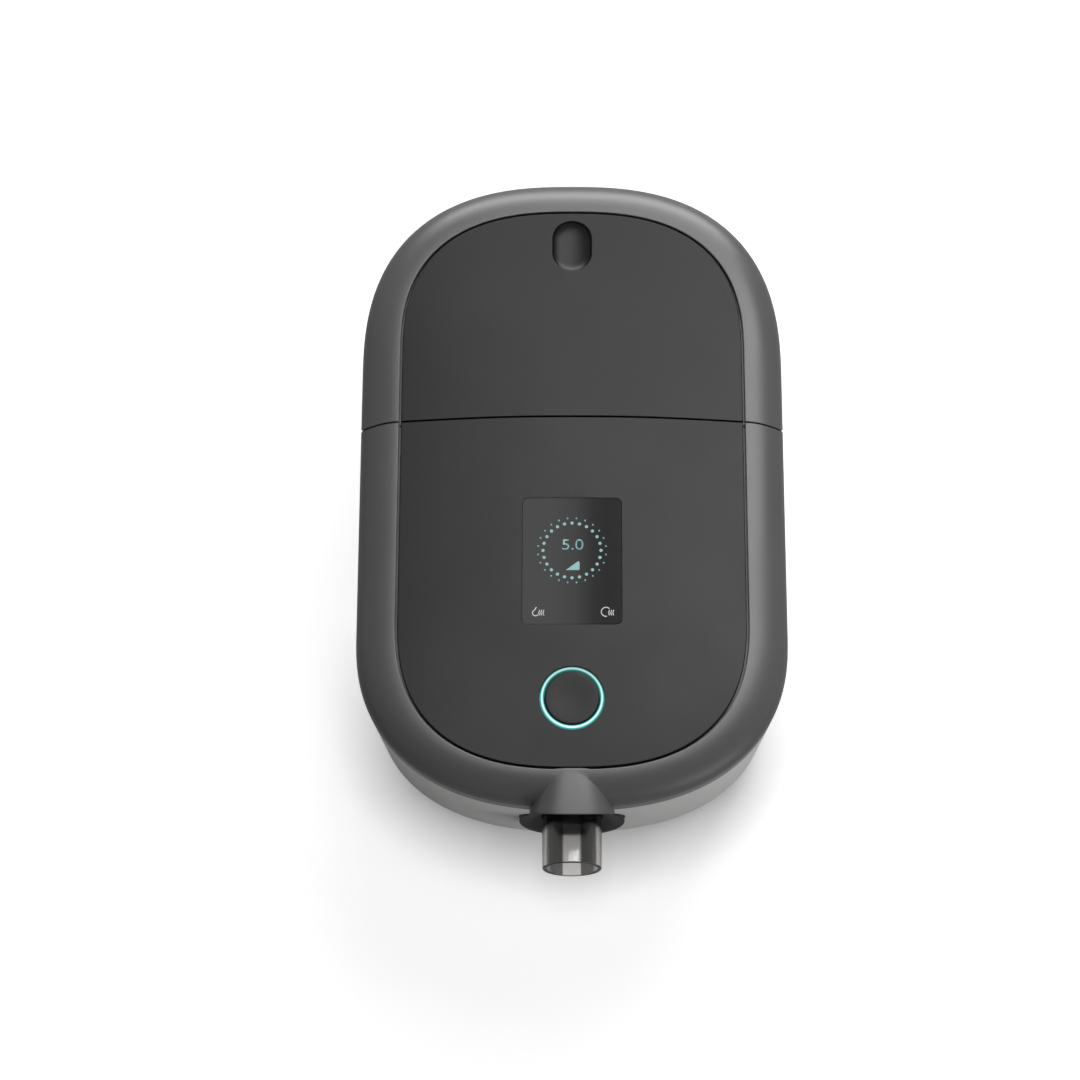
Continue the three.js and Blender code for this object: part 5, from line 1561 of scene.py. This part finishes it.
dotTree = dotRingTree()
for label, radius, size, turn in screen["dotRings"]:
    dots = meshOf(dotTree, [], {"Count": screen["dotCount"], "Ring Radius": radius * millimetre,
                                "Dot Radius": size * millimetre,
                                "Dot Height": screen["markHeight"] * millimetre,
                                "Turn": turn * 2 * halfTurn / screen["dotCount"], "Finish": screenTeal})
    screenMark(f"screen_dots_{label}", dots, 0, 0, screenTeal)
screenMark("screen_number", merged([numberMesh()]), screen["numberX"], screen["numberRise"], screenTeal)
screenMark("screen_ramp", wedgeMesh(), screen["numberX"], -screen["wedgeDrop"], screenTeal)
for name, strokes, x in (("screen_humidity", dropStrokes(), screen["dropSymbolX"]),
                         ("screen_warm_tube", tubeStrokes(), screen["tubeSymbolX"])):
    lines = merged([ribbon(points * screen["symbolScale"], screen["symbolLine"]) for points in strokes])
    screenMark(name, lines, x, screen["symbolRise"], screenWhite)
print("display marks made")


# Soft studio: pale floor, white surroundings, broad lamps and softboxes

studio = {
    "floorReach": 6.0,
    "floorColour": 0.76,
    "floorRoughness": 0.9,
    "floorLift": 0.83,
    "floorMirrored": 0.25,  # share of its lift that reflections see
    "shadowReach": 0.036,  # how far the soft shadow around the machine spreads
    "shadowDepth": 0.75,
    "shadowOpenness": (0.45, 0.90),
    "shadowFront": (-0.02, -0.09),  # the shadow comes in between these two places
    "shadowSamples": 8,
    "worldLevel": 0.08,
    "lamps": (  # name, power, width, height, place; the softboxes are only for reflections
        ("key lamp", 11.5, 0.9, 0.9, (0.35, 1.08, 1.08), False),
        ("front lamp", 4.4, 0.7, 0.5, (0.9, -1.1, 0.25), False),
        ("overhead softbox", 10.0, 0.55, 0.95, (0.0, 0.33, 1.3), True),
        ("right softbox", 10.5, 0.4, 0.9, (0.56, 0.45, 1.2), True),
        ("rear softbox", 33.0, 1.6, 0.5, (0.1, 1.5, 0.5), True),
    ),
}
white = (1, 1, 1, 1)


def maths(tree, operation, first, second):
    return node(tree, "ShaderNodeMath", {0: first, 1: second}, operation=operation).outputs["Value"]


def seenRays(tree, mirrored=1.0):  # 1 for what is seen directly or through something clear
    rays = node(tree, "ShaderNodeLightPath").outputs
    direct = maths(tree, "MAXIMUM", rays["Is Camera Ray"], rays["Is Transmission Ray"])
    return maths(tree, "MAXIMUM", direct, maths(tree, "MULTIPLY", rays["Is Glossy Ray"], mirrored))


def makeFloor():
    reach = studio["floorReach"]
    mesh = bpy.data.meshes.new("floor")
    mesh.from_pydata([(-reach, -reach, 0), (reach, -reach, 0), (reach, reach, 0), (-reach, reach, 0)],
                     [], [(0, 1, 2, 3)])
    floor = bpy.data.objects.new("floor", mesh)
    bpy.context.scene.collection.objects.link(floor)
    material, tree, shader = newMaterial("pale floor", Base_Color=grey(studio["floorColour"]),
                                         Roughness=studio["floorRoughness"], Specular_IOR_Level=0.0,
                                         Emission_Color=white)
    nearness = node(tree, "ShaderNodeAmbientOcclusion", {"Distance": studio["shadowReach"]},
                    samples=studio["shadowSamples"])
    shade = mapped(tree, nearness.outputs["AO"], 1 - studio["shadowDepth"], 1.0, *studio["shadowOpenness"])
    place = node(tree, "ShaderNodeSeparateXYZ", {"Vector": ownPlace(tree)})
    inFront = mapped(tree, place.outputs["Y"], 0.0, 1.0, *studio["shadowFront"])
    shadow = node(tree, "ShaderNodeMix", {"Factor": inFront, "A": 1.0, "B": shade}).outputs["Result"]
    seen = maths(tree, "MULTIPLY", seenRays(tree, studio["floorMirrored"]), shadow)
    feed(tree, shader, Emission_Strength=maths(tree, "MULTIPLY", seen, studio["floorLift"]))
    mesh.materials.append(material)


def makeSurroundings():
    world = bpy.data.worlds.new("studio")
    bpy.context.scene.world = world
    world.use_nodes = True
    light = world.node_tree.nodes["Background"]
    light.inputs["Color"].default_value = white
    feed(world.node_tree, light,
         Strength=mapped(world.node_tree, seenRays(world.node_tree), studio["worldLevel"], 1.0))


def makeLamps():
    for name, power, width, height, place, reflectedOnly in studio["lamps"]:
        data = bpy.data.lights.new(name, "AREA")
        data.shape = "RECTANGLE"
        data.size = width
        data.size_y = height
        data.energy = power
        lamp = bpy.data.objects.new(name, data)
        aim = Vector(place).to_track_quat("Z", "Y").to_matrix().to_4x4()
        lamp.matrix_world = Matrix.Translation(place) @ aim
        lamp.visible_diffuse = not reflectedOnly
        bpy.context.scene.collection.objects.link(lamp)


view = {
    "elevation": 70,
    "distance": 1.21536,
    "targetY": -0.00127,
    "targetZ": 0.04051,
    "lens": 106.233,
    "sensor": 36,
    "clipEnd": 50,
    "shiftX": -32 / 1080,
}


def makeCamera():
    data = bpy.data.cameras.new("camera")
    data.sensor_width = view["sensor"]
    data.sensor_fit = "HORIZONTAL"
    data.lens = view["lens"]
    data.shift_x = view["shiftX"]
    data.clip_end = view["clipEnd"]
    camera = bpy.data.objects.new("camera", data)
    tilt = math.radians(view["elevation"])
    target = Vector((0, view["targetY"], view["targetZ"]))
    place = target - view["distance"] * Vector((0, math.cos(tilt), -math.sin(tilt)))
    camera.matrix_world = Matrix.Translation(place) @ Matrix.Rotation(quarterTurn - tilt, 4, "X")
    bpy.context.scene.collection.objects.link(camera)
    bpy.context.scene.camera = camera


makeFloor()
makeSurroundings()
makeLamps()
makeCamera()
bpy.context.scene.view_settings.view_transform = "Standard"
print("studio ready")
